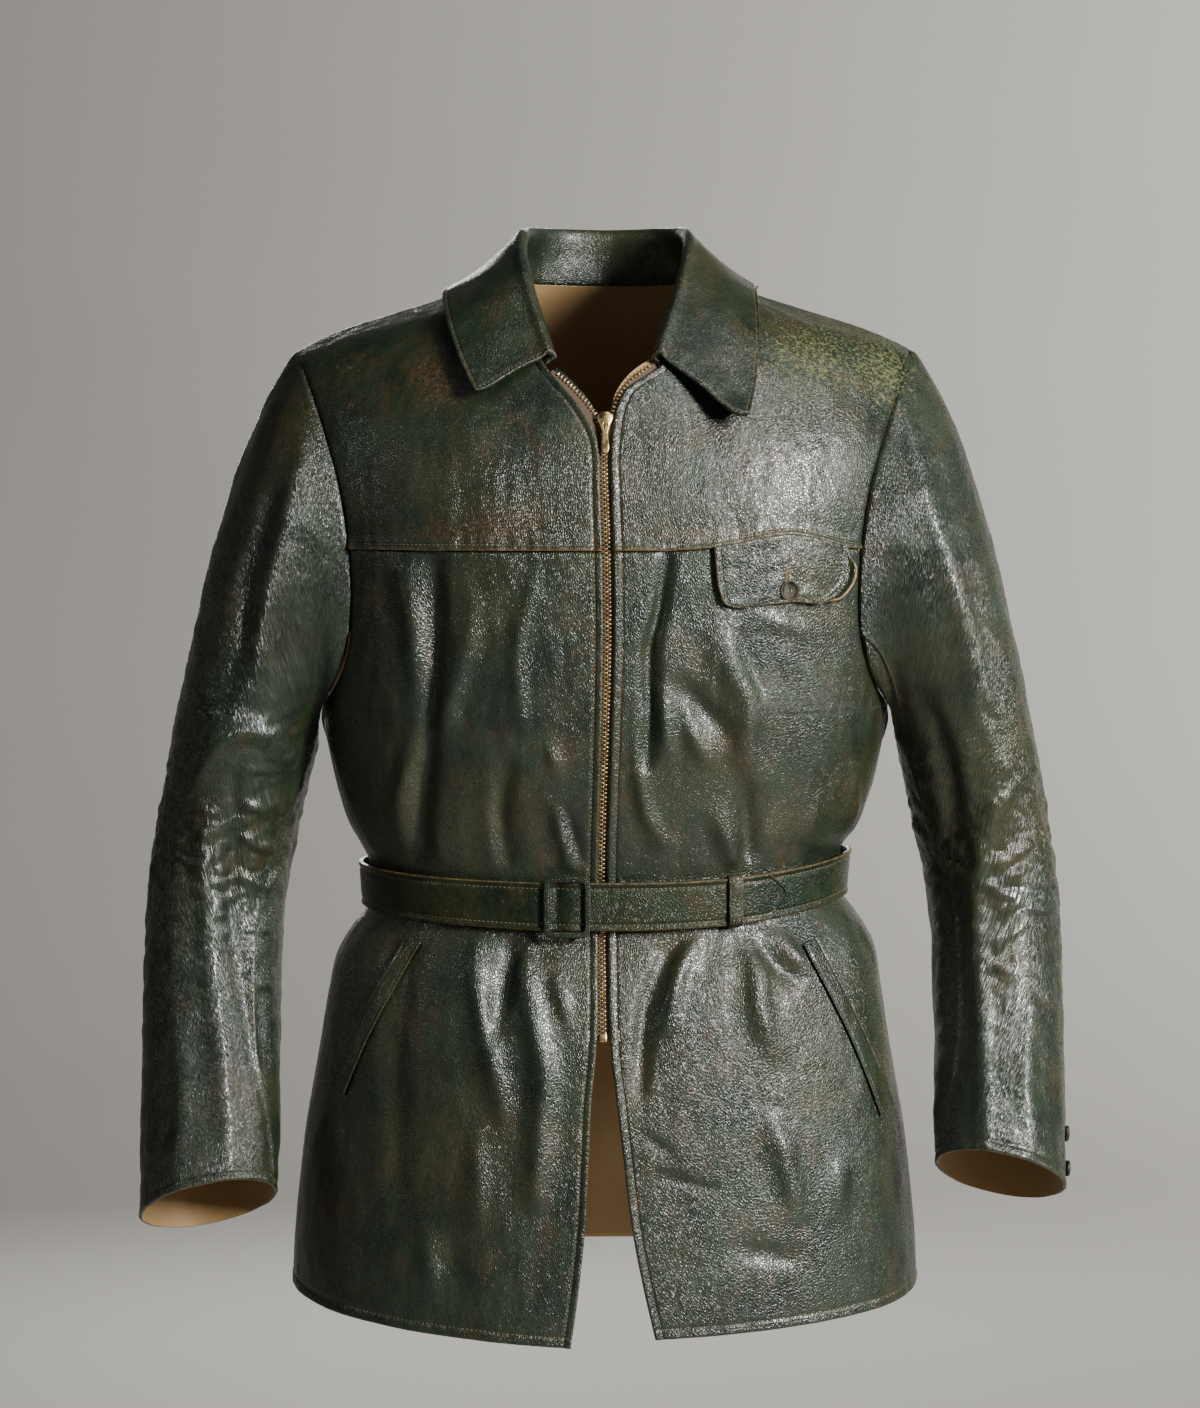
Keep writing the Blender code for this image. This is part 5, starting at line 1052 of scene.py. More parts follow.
def make_sleeve(side, grids):
    """The sleeve's outer and inner panel, cut from one set of rings."""
    loop = armhole_loop(grids, side) * np.array([side, 1, 1])
    whole = sleeve_grid(side, loop) * np.array([side, 1, 1])
    upper = np.concatenate([whole[:, BACK_SEAM_COLUMN:-1], whole[:, :FRONT_SEAM_COLUMN + 1]], 1)
    under = whole[:, FRONT_SEAM_COLUMN:BACK_SEAM_COLUMN + 1]
    made = []
    for coarse, sides, seed in (
        (upper, {"near": "seam", "far": "raised"}, 41 + side),
        (under, {"near": "under", "far": "under"}, 51 + side),
    ):
        panel = Panel(coarse, lambda points: points - sleeve_centre(points))
        points, normals = panel.points, panel.normals()
        before = crease_height(points, SLEEVE_CREASES) * np.clip(-normals[..., 1] * 2, 0, 1)
        behind = crease_height(points, SLEEVE_REAR_CREASES) * np.clip(normals[..., 1] * 2, 0, 1)
        elbow = bell(points[..., 2] - ELBOW_Z, 0.085)
        rumple = 0.0018 * (np.abs(lumps(points * [0.75, 0.75, 1.15], 0.017, seed)) - 0.25)
        small = 0.0009 * (np.abs(lumps(points * [0.8, 0.8, 1.2], 0.010, seed + 3)) - 0.25)
        height = before + behind + rumple * (0.35 + elbow) + small * (0.2 + elbow)
        height += 0.0011 * lumps(points, 0.050, seed + 1) + 0.0005 * lumps(points, 0.018, seed + 2)
        height *= ease(panel.edge["low"] / 0.030) * ease(panel.edge["near"] / 0.012 + 0.3)
        height *= ease(panel.edge["far"] / 0.012 + 0.3)
        panel.lift(height)
        panel.keep_form()
        edge_work(panel, {"low": "seam", "top": "hem", **sides}, seed)
        tucked(panel, "low")
        panel.marks["wear"] *= 0.15 + 0.85 * ease((-0.38 - panel.points[..., 2]) / 0.08)
        stains(panel)
        made.append(panel)
    return made


# --- what lies on or under the fronts ---------------------------------------------------

def chest(x, z, lift):
    """Points on the chest's plain form, moved out by lift."""
    step = 0.0005
    across = (torso_y(x + step, z, FRONT) - torso_y(x - step, z, FRONT)) / (2 * step)
    up = (torso_y(x, z + step, FRONT) - torso_y(x, z - step, FRONT)) / (2 * step)
    out = unit(np.stack([across, -np.ones_like(across), up], -1))
    points = np.stack([x, torso_y(x, z, FRONT), z], -1)
    return swayed(points) + out * np.asarray(lift)[..., None]


class Skin:
    """The folded form of some panels, seen from the front."""

    def __init__(self, panels):
        points, faces = [], []
        for panel in panels:
            start = sum(len(part) for part in points)
            rows, columns = panel.form.shape[:2]
            faces += (quads(np.arange(rows * columns).reshape(rows, columns)) + start).tolist()
            points.append(panel.form.reshape(-1, 3))
        self.tree = BVHTree.FromPolygons(np.concatenate(points).tolist(), faces)

    def __call__(self, x, z, lift):
        """Points over the panels at places in front view, moved out by lift."""
        made = chest(x, z, np.zeros(x.shape))
        out = chest(x, z, np.ones(x.shape)) - made
        for at in np.ndindex(x.shape):
            hit = self.tree.ray_cast(Vector((x[at], -0.5, z[at])), Vector((0, 1, 0)))
            if hit[0] is not None:
                made[at] = hit[0]
                out[at] = -np.sign(hit[1].y) * np.array(hit[1])
        for _ in range(3):
            out[1:-1] = (out[:-2] + out[1:-1] + out[2:]) / 3
            out[:, 1:-1] = (out[:, :-2] + out[:, 1:-1] + out[:, 2:]) / 3
        return made + unit(out) * lift[..., None]


def make_flap(skin, seam):
    """The chest pocket's flap, which hangs from the yoke seam."""
    share = np.linspace(0, 1, 9)
    rows = []
    for drop in np.linspace(0, FLAP[-1].drop, 12):
        x0, x1 = (float(read(FLAP, "drop", column, drop)) for column in ("x0", "x1"))
        x = x0 + (x1 - x0) * share
        z = np.interp(x, seam[:, 0], seam[:, 2]) + 0.0010 - drop
        rows.append(np.stack([x, z, np.full(x.shape, drop), share], -1))
    flat = finer(np.array(rows)[::-1], 0.0018)
    x, z, drop, share = np.moveaxis(flat, -1, 0)
    reach = drop / FLAP[-1].drop
    lift = LAY_GAP * (1.2 + 1.2 * reach) + 0.0022 + 0.0012 * reach * share
    lift += 0.0007 * lumps(flat[..., :3], 0.016, 61)
    panel = Panel(skin(x, z, lift)[::6, ::6], outward_by(FRONT), 0.0016)
    rounded(panel, "low", "near", 0.013)
    rounded(panel, "low", "far", 0.011)
    turned_up = np.clip(1 - panel.edge["far"] / 0.0085, 0, 1) ** 1.4
    turned_up *= ease((panel.edge["top"] - 0.004) / 0.012)
    turned_up *= ease((panel.edge["low"] - 0.001) / 0.016)
    panel.lift(FLAP_CURL * turned_up)
    gap, z = np.abs(panel.points[..., 0] - FLAP_BUTTON_AT[0]), panel.points[..., 2]
    low_end, high_end = BUTTONHOLE_Z
    slit = bell(gap, 0.0010) * ease((z - low_end) / 0.002) * ease((high_end - z) / 0.002)
    panel.lift(-0.0010 * slit + 0.0004 * bell(gap - 0.0022, 0.0012) * (slit > 0))
    panel.keep_form()
    edge_work(panel, {"low": "flap", "near": "flap", "far": "flap", "top": "plain"}, 63)
    stains(panel)
    return panel


def make_welt(side, skin):
    """The narrow, slightly bent strip along a slash pocket."""
    (x0, z0), (x1, z1) = WELT_ENDS[side]
    t = np.linspace(0, 1, 40)
    way = unit(np.array([z1 - z0, x0 - x1]))
    rows = []
    for inset in np.linspace(0, WELT_WIDTH, 5):
        x = x0 + (x1 - x0) * t + 0.004 * np.sin(math.pi * t) - abs(way[0]) * inset
        z = z0 + (z1 - z0) * t - abs(way[1]) * inset
        rows.append(np.stack([side * x, z], -1))
    flat = np.array(rows)
    lift = np.full(flat.shape[:2], LAY_GAP + 0.0016)
    panel = Panel(skin(flat[..., 0], flat[..., 1], lift)[:, ::2], outward_by(FRONT), 0.0018)
    panel.keep_form()
    edge_work(panel, {"low": "welt", "top": "welt", "near": "plain", "far": "plain"}, 71)
    return panel


def make_collar(grids):
    """Stand, fold and leaf in one piece, from its right front end to its left one."""
    halves = []
    for side, word in SIDE_NAMES.items():
        neck = grids[f"front_yoke_{word}"][COLLAR_FROM:, 0]
        rear = grids["back"][-1, FRONT_COLUMNS:FRONT_COLUMNS + 2 * BACK_NECK_COLUMNS + 1]
        rear = rear[::-1] if side == LEFT else rear
        neck = np.concatenate([neck, rear[1:BACK_NECK_COLUMNS + 1]])
        rows = COLLAR_FRONT[side] + COLLAR_BACK
        halves.append(np.array([collar_profile(side, n, row) for n, row in zip(neck, rows)]))
    left, right = halves
    middle = np.concatenate([right, left[::-1][1:]])

    def upwards(points):
        leaf = np.arange(points.shape[1])[None, :, None] > 0.7 * points.shape[1]
        return leaf * np.array([0.0, 0.0, 1.0])

    panel = Panel(middle, upwards, 0.0019)
    drawn_out(panel, "low", 0.42, (0.007, 0.009, 0.012, 0.013), 0.05)
    drawn_out(panel, "top", 0.42, (0.007, 0.012, 0.018, 0.016), 0.05)
    rounded(panel, "far", "low", 0.010)
    rounded(panel, "far", "top", 0.015)
    panel.lift(np.full(panel.points.shape[:2], COLLAR_WALL / 2))
    tip = bell(panel.edge["top"], 0.030) * bell(panel.edge["far"], 0.030)
    panel.lift(0.0045 * tip * ease(1 - panel.edge["top"] / 0.03))
    panel.lift(0.0009 * lumps(panel.points, 0.028, 81) * ease(panel.edge["near"] / 0.03))
    panel.keep_form()
    edge_work(panel, {"far": "leaf", "low": "leaf", "top": "leaf", "near": "neck"}, 83)
    stains(panel)
    return panel


def make_strip(side, inner, outer, depth):
    """A strip behind the front, between two lines drawn in front view."""
    lines = np.stack([inner, (inner + outer) / 2, outer], 1)
    x, z = side * lines[..., 0], lines[..., 1]
    panel = Panel(chest(x, z, np.full(x.shape, -depth)), outward_by(FRONT), 0.0016)
    panel.keep_form()
    return panel


def make_tape(side):
    """The cloth tape that holds the teeth."""
    line = chain_line(side)
    return make_strip(side, line, line + away_from_neck(line) * TAPE_WIDTH, WALL + TAPE_DEPTH)


def make_facing(side):
    """What shows of the facing beside the open neck."""
    line = np.array([(p.x, p.z) for p in CHAIN[side][2:]])
    away = away_from_neck(line)
    share = np.linspace(0, 1, len(line))[:, None]
    inner = line - away * FACING_WIDTH[side] * (0.10 + 0.40 * share * (2 - share))
    return make_strip(side, inner, line + away * 0.006, WALL + FACING_DEPTH)


# --- belt, keeper and buckle ------------------------------------------------------------

def make_belt():
    """The strap, once round the waist and on over itself through the buckle to its tip."""
    stations = belt_stations() + [(TIP_X, FRONT, 1)]
    coarse = [
        [belt_point(x, face, level, share, BELT_WALL)[0] for x, face, level in stations]
        for share in np.linspace(0, 1, 5)
    ]
    panel = Panel(coarse, lambda points: points * np.array([1, 1, 0]), 0.0022)
    middle = (panel.points[:1] + panel.points[-1:]) / 2
    to_tip = panel.edge["far"][..., None]
    narrow = np.minimum(1, 0.06 + 0.94 * (to_tip / TIP_LENGTH) ** 0.9)
    panel.points = middle + (panel.points - middle) * narrow
    x, on_top = panel.points[..., 0], panel.edge["near"] > panel.edge["near"].max() - 0.19
    pressed = bell(x + 0.0345, 0.0042) * 0.0022 - bell(x + 0.0215, 0.0050) * 0.0007
    panel.lift(-pressed * on_top + 0.0005 * lumps(panel.points, 0.030, 91))
    panel.keep_form()
    edge_work(panel, {"low": "cord", "top": "cord", "near": "plain", "far": "plain"}, 93)
    panel.marks["brown"] += 0.35 * ease(lumps(panel.points, 0.045, 95) + 0.2)
    return panel


def make_keeper():
    """A loop round both layers of the belt. Its path goes by share of the belt's height."""
    top, thick = 2 * BELT_WALL + SEAM_GAP + 0.0016, KEEPER_WALL
    path = [
        (0.5, -0.0012), (0.9, -0.0012), (1.03, 0.0), (1.06, top * 0.5), (1.03, top),
        (0.9, top + thick),
    ]
    path += [(0.5, top + thick)] + [(1 - share, lift) for share, lift in path[::-1][1:]]
    rows = [
        [belt_point(x, FRONT, 0, share, lift)[0] for share, lift in path]
        for x in np.linspace(*KEEPER_X, 4)
    ]

    def away(points):
        return points - points.mean(axis=1, keepdims=True)

    panel = Panel(rows, away, 0.0012)
    panel.lift(0.0005 * np.sin(math.pi * panel.edge["low"] / panel.edge["low"].max()))
    panel.keep_form()
    for edge in ("low", "top"):
        panel.marks["wear"] += 0.5 * bell(panel.edge[edge], 0.0014)
    return panel


def make_buckle():
    """A flat frame, cut from a plate, covered with leather, bent round the belt."""
    x0, x1 = BUCKLE_X
    width, height = x1 - x0, BUCKLE_HEIGHT
    made = primitive("plane_add", "buckle_frame", size=1.0)
    made.scale = (width, height, 1)
    bpy.ops.object.transform_apply(scale=True)
    pick(made, lambda face: True)
    bpy.ops.mesh.inset(thickness=BUCKLE_BAR)
    bpy.ops.mesh.delete(type="FACE")
    bpy.ops.mesh.select_all(action="SELECT")
    bpy.ops.mesh.subdivide(number_cuts=3)
    bpy.ops.object.mode_set(mode="OBJECT")
    thicken(made, BUCKLE_WALL, 1.0)
    soften(made, 0.0016, 3)
    smooth = made.modifiers.new("smooth", "SUBSURF")
    smooth.levels = smooth.render_levels = 1
    apply_all(made)
    low = BELT_WALL * 2 + SEAM_GAP * 2
    middle_x = (x0 + x1) / 2
    for vertex in made.data.vertices:
        x, up, out = vertex.co
        corner = (abs(x) / (width / 2)) ** 4 * (abs(up) / (height / 2)) ** 4
        share = 0.5 + up * (1 - corner * 0.088) / BELT_HEIGHT
        vertex.co = belt_point(middle_x + x * (1 - corner * 0.064), FRONT, 0, share, low + out)[0]
    return face_out(made)


# --- modelling by hand ------------------------------------------------------------------

def primitive(kind, name, **settings):
    """A basic shape, active and selected."""
    bpy.ops.object.select_all(action="DESELECT")
    getattr(bpy.ops.mesh, "primitive_" + kind)(**settings)
    made = bpy.context.object
    made.name = name
    return made


def block(name, size):
    """A block round the origin."""
    made = primitive("cube_add", name, size=1.0)
    made.scale = size
    bpy.ops.object.transform_apply(scale=True)
    return made


def pick(made, test):
    """Selects the faces that pass a test, ready for edit mode."""
    bpy.context.view_layer.objects.active = made
    bpy.ops.object.mode_set(mode="EDIT")
    bpy.ops.mesh.select_mode(type="FACE")
    bpy.ops.mesh.select_all(action="DESELECT")
    bpy.ops.object.mode_set(mode="OBJECT")
    for face in made.data.polygons:
        face.select = test(face)
    bpy.ops.object.mode_set(mode="EDIT")


def drawn_on(made, test, step):
    """Draws the faces that pass a test out by one step."""
    pick(made, test)
    bpy.ops.mesh.extrude_region_move(TRANSFORM_OT_translate={"value": step})


def thicken(made, thickness, offset):
    """Gives a flat shape a wall, round it (0) or on its outer side (1)."""
    wall = made.modifiers.new("wall", "SOLIDIFY")
    wall.thickness, wall.offset = thickness, offset


def soften(made, width, segments):
    """Rounds a shape's sharp edges."""
    soft = made.modifiers.new("soft", "BEVEL")
    soft.width, soft.segments, soft.limit_method = width, segments, "ANGLE"


def apply_all(made):
    bpy.ops.object.select_all(action="DESELECT")
    made.select_set(True)
    bpy.context.view_layer.objects.active = made
    for modifier in list(made.modifiers):
        bpy.ops.object.modifier_apply(modifier=modifier.name)


def face_out(made):
    """Joins a shape's doubled points, and turns all its faces outwards."""
    work = bmesh.new()
    work.from_mesh(made.data)
    bmesh.ops.remove_doubles(work, verts=work.verts, dist=1e-6)
    bmesh.ops.recalc_face_normals(work, faces=work.faces)
    work.to_mesh(made.data)
    work.free()
    made.data.polygons.foreach_set("use_smooth", np.ones(len(made.data.polygons), bool))
    return made


def settle(made, matrix):
    """Moves a finished shape to its place, with the place in its mesh."""
    made.data.transform(matrix)
    made.data.update()
    return made


def copies(name, shape, matrices):
    """One piece made of many copies of a small shape."""
    base = np.array([v.co for v in shape.data.vertices])
    faces = [tuple(p.vertices) for p in shape.data.polygons]
    turns = np.array([[list(row) for row in m] for m in matrices])
    points = np.einsum("nij,vj->nvi", turns[:, :3, :3], base) + turns[:, None, :3, 3]
    starts = [k * len(base) for k in range(len(matrices))]
    all_faces = [tuple(v + start for v in face) for start in starts for face in faces]
    return mesh_piece(name, points.reshape(-1, 3), all_faces)


def frame_at(place, along, out):
    """A matrix with x along a line and z out of the leather."""
    along = unit(along - out * (along @ out))
    other = np.cross(out, along)
    turn = Matrix(np.stack([along, other, out], 1).tolist()).to_4x4()
    return Matrix.Translation(Vector(place)) @ turn


def along_line(points, normals, pitch, inset=0.0, sink=0.0):
    """Evenly spaced frames along a line on the leather."""
    keys = lengths(points)
    count = max(2, int(round((keys[-1] - 2 * inset) / pitch)))
    frames = []
    for key in np.linspace(inset + pitch / 2, keys[-1] - inset - pitch / 2, count):
        place, ahead, out = (
            np.array([np.interp(at, keys, line[:, k]) for k in range(3)])
            for at, line in ((key, points), (key + pitch * 0.2, points), (key, normals))
        )
        out = unit(out)
        frames.append(frame_at(place - out * sink, ahead - place, out))
    return frames


# --- zip --------------------------------------------------------------------------------

def chest_point(x, z, lift):
    """A single point on the chest's plain form, moved out by lift."""
    return chest(np.array([x]), np.array([z]), np.array([lift]))[0]


def tooth_shape():
    """One tooth: a base that grips the tape, a waist and a rounded head."""
    made = block("tooth", (0.0010, 0.0011, 0.0021))
    for step, scale in ((0.0006, 0.80), (0.0004, 1.20), (0.0008, 0.80)):
        head_x = max(face.center.x for face in made.data.polygons)
        drawn_on(made, lambda face: face.center.x == head_x, (step, 0, 0))
        bpy.ops.transform.resize(value=(1, scale, 0.5 + scale / 2))
        bpy.ops.object.mode_set(mode="OBJECT")
    return made


def make_teeth(side, word, tooth):
    """The teeth on one side, which stand half a pitch higher on the left one."""
    line = chain_line(side) * np.array([side, 1])
    keys = lengths(line)
    start = 0.0035 + (TOOTH_PITCH / 2 if side == LEFT else 0.0)
    frames = []
    for key in np.arange(start, keys[-1] - 0.004, TOOTH_PITCH):
        (x, z), (ahead_x, ahead_z) = (
            [np.interp(at, keys, line[:, k]) for k in range(2)] for at in (key, key + 0.001)
        )
        spot = chest_point(x, z, 0.0001 - WALL - TAPE_DEPTH)
        ahead = chest_point(ahead_x, ahead_z, 0.0001 - WALL - TAPE_DEPTH)
        out = unit(chest_point(x, z, 0.0) - spot)
        inwards = unit(np.cross(unit(ahead - spot), out))
        inwards = inwards if inwards[0] * side < 0 else -inwards
        frames.append(frame_at(spot - inwards * 0.0010, inwards, out))
    return copies(f"zip_teeth_{word}", tooth, frames)


def make_stop():
    """The zip's bottom stop: a small rounded block over the ends of both rows of teeth."""
    made = block("zip_bottom_stop", (0.0058, 0.0056, 0.0022))
    pick(made, lambda face: face.normal.z > 0.5)
    bpy.ops.mesh.inset(thickness=0.0009)
    bpy.ops.transform.translate(value=(0.0, 0.0, 0.0004))
    bpy.ops.object.mode_set(mode="OBJECT")
    soften(made, 0.0003, 2)
    apply_all(made)
    low, high = (
        chest_point(0.0, ZIP_END_Z + up, 0.0003 - WALL - TAPE_DEPTH) for up in (0.0016, 0.0026)
    )
    out = unit(chest_point(0.0, ZIP_END_Z + 0.0016, 0.0) - low)
    return settle(face_out(made), frame_at(low, high - low, out))


def make_slider(matrix):
    """Crown and body shaped from one plate, and the bail's foot on its upper end."""
    body = block("slider_body", (1, 1, 0.0030))
    pick(body, lambda face: True)
    bpy.ops.mesh.subdivide(number_cuts=5)
    bpy.ops.object.mode_set(mode="OBJECT")
    downs, halves = zip(*SLIDER_OUTLINE)
    places = range(len(downs))
    for vertex in body.data.vertices:
        x, y, z = vertex.co
        at = (y + 0.5) * places[-1]
        dome = 0.0011 * max(0.0, 1 - (2 * x) ** 2) * (1 if z > 0 else 0)
        half, down = np.interp(at, places, halves), np.interp(at, places, downs)
        vertex.co = (2 * x * half, down, z - 0.0008 + dome)
    soften(body, 0.0004, 2)
    apply_all(body)
    bail = block("slider_bail", (0.0021, 0.0014, 0.0012))
    bail = settle(bail, Matrix.Translation(BAIL_AT))
    return settle(face_out(body), matrix), settle(face_out(bail), matrix)


def make_pull(matrix):
    """A flat tab: an eye cut at one end, a waist, and a wider rounded end."""
    downs, halves = zip(*PULL_OUTLINE)
    cells = len(downs) - 1
    made = primitive("grid_add", "pull_tab", x_subdivisions=4, y_subdivisions=cells, size=1.0)

    def in_eye(face):
        return abs(face.center.x) < 0.3 and 1 / cells < face.center.y + 0.5 < 4 / cells

    pick(made, in_eye)
    bpy.ops.mesh.delete(type="FACE")
    bpy.ops.object.mode_set(mode="OBJECT")
    for vertex in made.data.vertices:
        at = (vertex.co.y + 0.5) * cells
        half, down = (np.interp(at, range(cells + 1), values) for values in (halves, downs))
        vertex.co = (2 * vertex.co.x * half, down, 0)
    thicken(made, 0.0013, 0.0)
    soften(made, 0.0004, 2)
    apply_all(made)
    for vertex in made.data.vertices:
        vertex.co.z += 0.0006 * bell(vertex.co.y - 0.0165, 0.004)
    return settle(face_out(made), matrix @ Matrix.Translation((0, PIN_DOWN, PIN_OUT)))


# --- buttons and threads ----------------------------------------------------------------

def make_button(name, radius, matrix):
    """Turned from a disc: a rolled rim round a shallow well."""
    disc = {"vertices": 32, "radius": radius, "depth": 0.0024, "location": (0, 0, 0.0012)}
    made = primitive("cylinder_add", name, **disc)
    bpy.ops.object.transform_apply(location=True)
    pick(made, lambda face: face.normal.z > 0.9)
    for width, depth in ((0.20, 0.0), (0.08, -0.0009), (0.20, -0.0002)):
        bpy.ops.mesh.inset(thickness=radius * width, depth=depth)
    bpy.ops.object.mode_set(mode="OBJECT")
    soften(made, 0.0005, 3)
    apply_all(made)
    return settle(face_out(made), matrix)


def stitch_shape(length, thickness):
    """A stitch: a long, flattened bead."""
    made = primitive("uv_sphere_add", "stitch", segments=6, ring_count=4, radius=0.5)
    made.rotation_euler = (0, math.radians(90), 0)
    bpy.ops.object.transform_apply(rotation=True)
    made.scale = (length, thickness, thickness * 0.75)
    bpy.ops.object.transform_apply(scale=True)
    return made


def button_seat(node, outward):
    """A frame on the foot of a button, from its node in the model."""
    points = np.array([v.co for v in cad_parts[node].data.vertices])
    middle = points.mean(0)
    normal = np.linalg.svd(points - middle, full_matrices=False)[2][-1]
    normal = normal * np.sign(normal @ outward(middle))
    foot = middle + normal * ((points - middle) @ normal).min()
    return frame_at(foot, np.array([0.0, 0.0, 1.0]), normal)


def away_from_arm(middle):
    """Away from the sleeve's centreline, from the middle of a cuff button."""
    return middle - sleeve_centre(middle[None])[0]


# --- finishes ---------------------------------------------------------------------------

class Value:
    """A shader value that can be added, multiplied and taken from a number."""

    def __init__(self, recipe, socket):
        self.recipe, self.socket = recipe, socket

    def maths(self, operation, first, second):
        return self.recipe.node("Math", {"operation": operation}, {0: first, 1: second})

    def __add__(self, other):
        return self.maths("ADD", self, other)

    def __rsub__(self, other):
        return self.maths("SUBTRACT", other, self)

    def __mul__(self, other):
        return self.maths("MULTIPLY", self, other)

    __radd__ = __add__
    __rmul__ = __mul__


class Recipe:
    """A finish: its nodes, and the shader they feed."""

    def __init__(self, name, **constants):
        self.material = bpy.data.materials.new(name)
        self.material.use_nodes = True
        self.tree = self.material.node_tree
        self.shader = self.tree.nodes["Principled BSDF"]
        for socket, value in constants.items():
            self.shader.inputs[socket.replace("_", " ")].default_value = value

    def node(self, kind, settings, inputs, output=0):
        made = self.tree.nodes.new("ShaderNode" + kind)
        for name, value in settings.items():
            setattr(made, name, value)
        for name, value in inputs.items():
            self.plug(made.inputs[name], value)
        return Value(self, made.outputs[output])

    def plug(self, socket, value):
        if isinstance(value, Value):
            self.tree.links.new(value.socket, socket)
        else:
            socket.default_value = value

    def feed(self, name, value):
        self.plug(self.shader.inputs[name], value)

    def place(self, kind="Object"):
        """Where a point is: in the room, or with UV on the flat leather, in metres."""
        return self.node("TexCoord", {}, {}, kind)

    def noise(self, place, scale, detail=3.0, rough=0.55):
        inputs = {"Vector": place, "Scale": scale, "Detail": detail, "Roughness": rough}
        return self.node("TexNoise", {}, inputs)

    def spread(self, value, low, high):
        """0 below low, 1 above high, smoothly between."""
        inputs = {"Value": value, "From Min": low, "From Max": high}
        return self.node("MapRange", {"interpolation_type": "SMOOTHSTEP"}, inputs)

    def mix(self, share, first, second):
        inputs = {0: share, 6: self.color(first), 7: self.color(second)}
        return self.node("Mix", {"data_type": "RGBA"}, inputs, 2)

    def color(self, value):
        return value if isinstance(value, Value) else (*value, 1.0)

    def vector(self, operation, first, second):
        return self.node("VectorMath", {"operation": operation}, {0: first, 1: second})

    def raised(self, height):
        """Relief, with its height in metres."""
        normal = self.node("Bump", {}, {"Height": height, "Strength": 1.0, "Distance": 1.0})
        self.feed("Normal", normal)

    def mark(self, name):
        return self.node("Attribute", {"attribute_name": name}, {}, "Fac")


# Colours of the leather, in linear red, green and blue
DEEP_GREEN, SOFT_GREEN = (0.0034, 0.0098, 0.0042), (0.0110, 0.0235, 0.0090)
# The last colour on the next line is painted shade, darkening the gaps between the grain's
# pebbles.
OLIVE, UMBER, GRAIN_GAP_PAINTED_SHADE = (0.024, 0.026, 0.007), (0.044, 0.026, 0.009), (0.002, 0.004, 0.002)
DARK_BROWN, RED_BROWN = (0.013, 0.008, 0.0035), (0.105, 0.048, 0.014)
SCUFF_YELLOW, OCHRE, EDGE_TAN = (0.105, 0.110, 0.034), (0.125, 0.080, 0.028), (0.230, 0.125, 0.042)


def leather(name, flat=True, polish=0.60):
    """Dark green pebbled leather with painted shade in the gaps of its grain, brown where it is
    rubbed and tan along its worn edges.
    """
    made = Recipe(name, Specular_IOR_Level=polish)
    solid = made.place()
    place = made.place("UV" if flat else "Object")
    stretched = made.vector("MULTIPLY", place, (1.0, 0.62, 1.0) if flat else (1.0, 1.0, 0.7))
    warp = made.node("TexNoise", {}, {"Vector": stretched, "Scale": 260.0, "Detail": 2.0}, "Color")
    warped = made.vector("ADD", stretched, made.vector("MULTIPLY", warp, (0.0009, 0.0009, 0.0009)))
    cells = {"Vector": warped, "Scale": 760.0, "Randomness": 1.0}
    gap = made.node("TexVoronoi", {"feature": "DISTANCE_TO_EDGE"}, cells, "Distance")
    pebble = made.spread(gap, 0.0, 0.27)
    tall = made.vector("MULTIPLY", solid, (1.0, 1.0, 0.66))
    wrinkle = made.noise(tall, 118.0, 4.0, 0.60)
    streak = made.noise(tall, 34.0, 4.0, 0.78)
    flecks = made.noise(solid, 420.0, 4.0, 0.75)
    patch = made.noise(solid, 9.0, 4.0, 0.6)
    cloud = made.noise(solid, 26.0, 4.0, 0.7)
    made.raised(pebble * 0.00014 + wrinkle * 0.0008)
    green = made.mix(made.spread(cloud, 0.36, 0.64), DEEP_GREEN, SOFT_GREEN)
    green = made.mix(made.spread(patch, 0.42, 0.64) * 0.70, green, OLIVE)
    green = made.mix(made.spread(streak, 0.50, 0.66) * 0.55, green, UMBER)
    # Painted shade: the gaps between the pebbles are darkened in the base colour.
    green = made.mix((1 - pebble) * 0.70, green, GRAIN_GAP_PAINTED_SHADE)
    rubbed = made.spread(made.mark("brown") * (0.25 + cloud * 1.3), 0.15, 0.85)
    rubbed = rubbed * (0.50 + pebble * 0.35)
    brown = made.mix(made.spread(flecks, 0.44, 0.62), DARK_BROWN, RED_BROWN)
    colored = made.mix(rubbed, green, brown)
    scuffed = made.spread(made.mark("scuff") * 0.16 + flecks, 0.62, 0.70)
    scuffed = scuffed * made.spread(made.mark("scuff"), 0.05, 0.45)
    colored = made.mix(scuffed * 0.65, colored, SCUFF_YELLOW)
    rubs = made.spread(flecks, 0.60, 0.68) * made.spread(patch, 0.42, 0.60)
    colored = made.mix(rubs * 0.55, colored, OCHRE)
    worn = made.mark("wear") * (0.35 + made.noise(solid, 160.0, 4.0, 0.7) * 1.1)
    worn = made.spread(worn, 0.30, 0.85)
    colored = made.mix(worn * 0.80, colored, EDGE_TAN)
    made.feed("Base Color", colored)
    rough = 0.09 + cloud * 0.20 + worn * 0.24 + scuffed * 0.24 + (1 - pebble) * 0.30
    made.feed("Roughness", rough)
    return made.material


def cloth(name, dark, light, pitch, depth, roughness):
    """Plain woven cloth: threads over and under each other."""
    made = Recipe(name, Sheen_Weight=0.15)
    place = made.place("UV")
    wave = {"Vector": place, "Scale": pitch, "Distortion": 0.4}
    across = made.node("TexWave", {"bands_direction": "X"}, wave, "Fac")
    along = made.node("TexWave", {"bands_direction": "Y"}, wave, "Fac")
    weave = across * 0.5 + along * 0.5
    soil = made.noise(place, 60.0, 4.0, 0.6)
    made.feed("Base Color", made.mix(weave * 0.6 + soil * 0.4, dark, light))
    made.feed("Roughness", roughness + soil * 0.1)
    made.raised(weave * depth + soil * 0.0003)
    return made.material


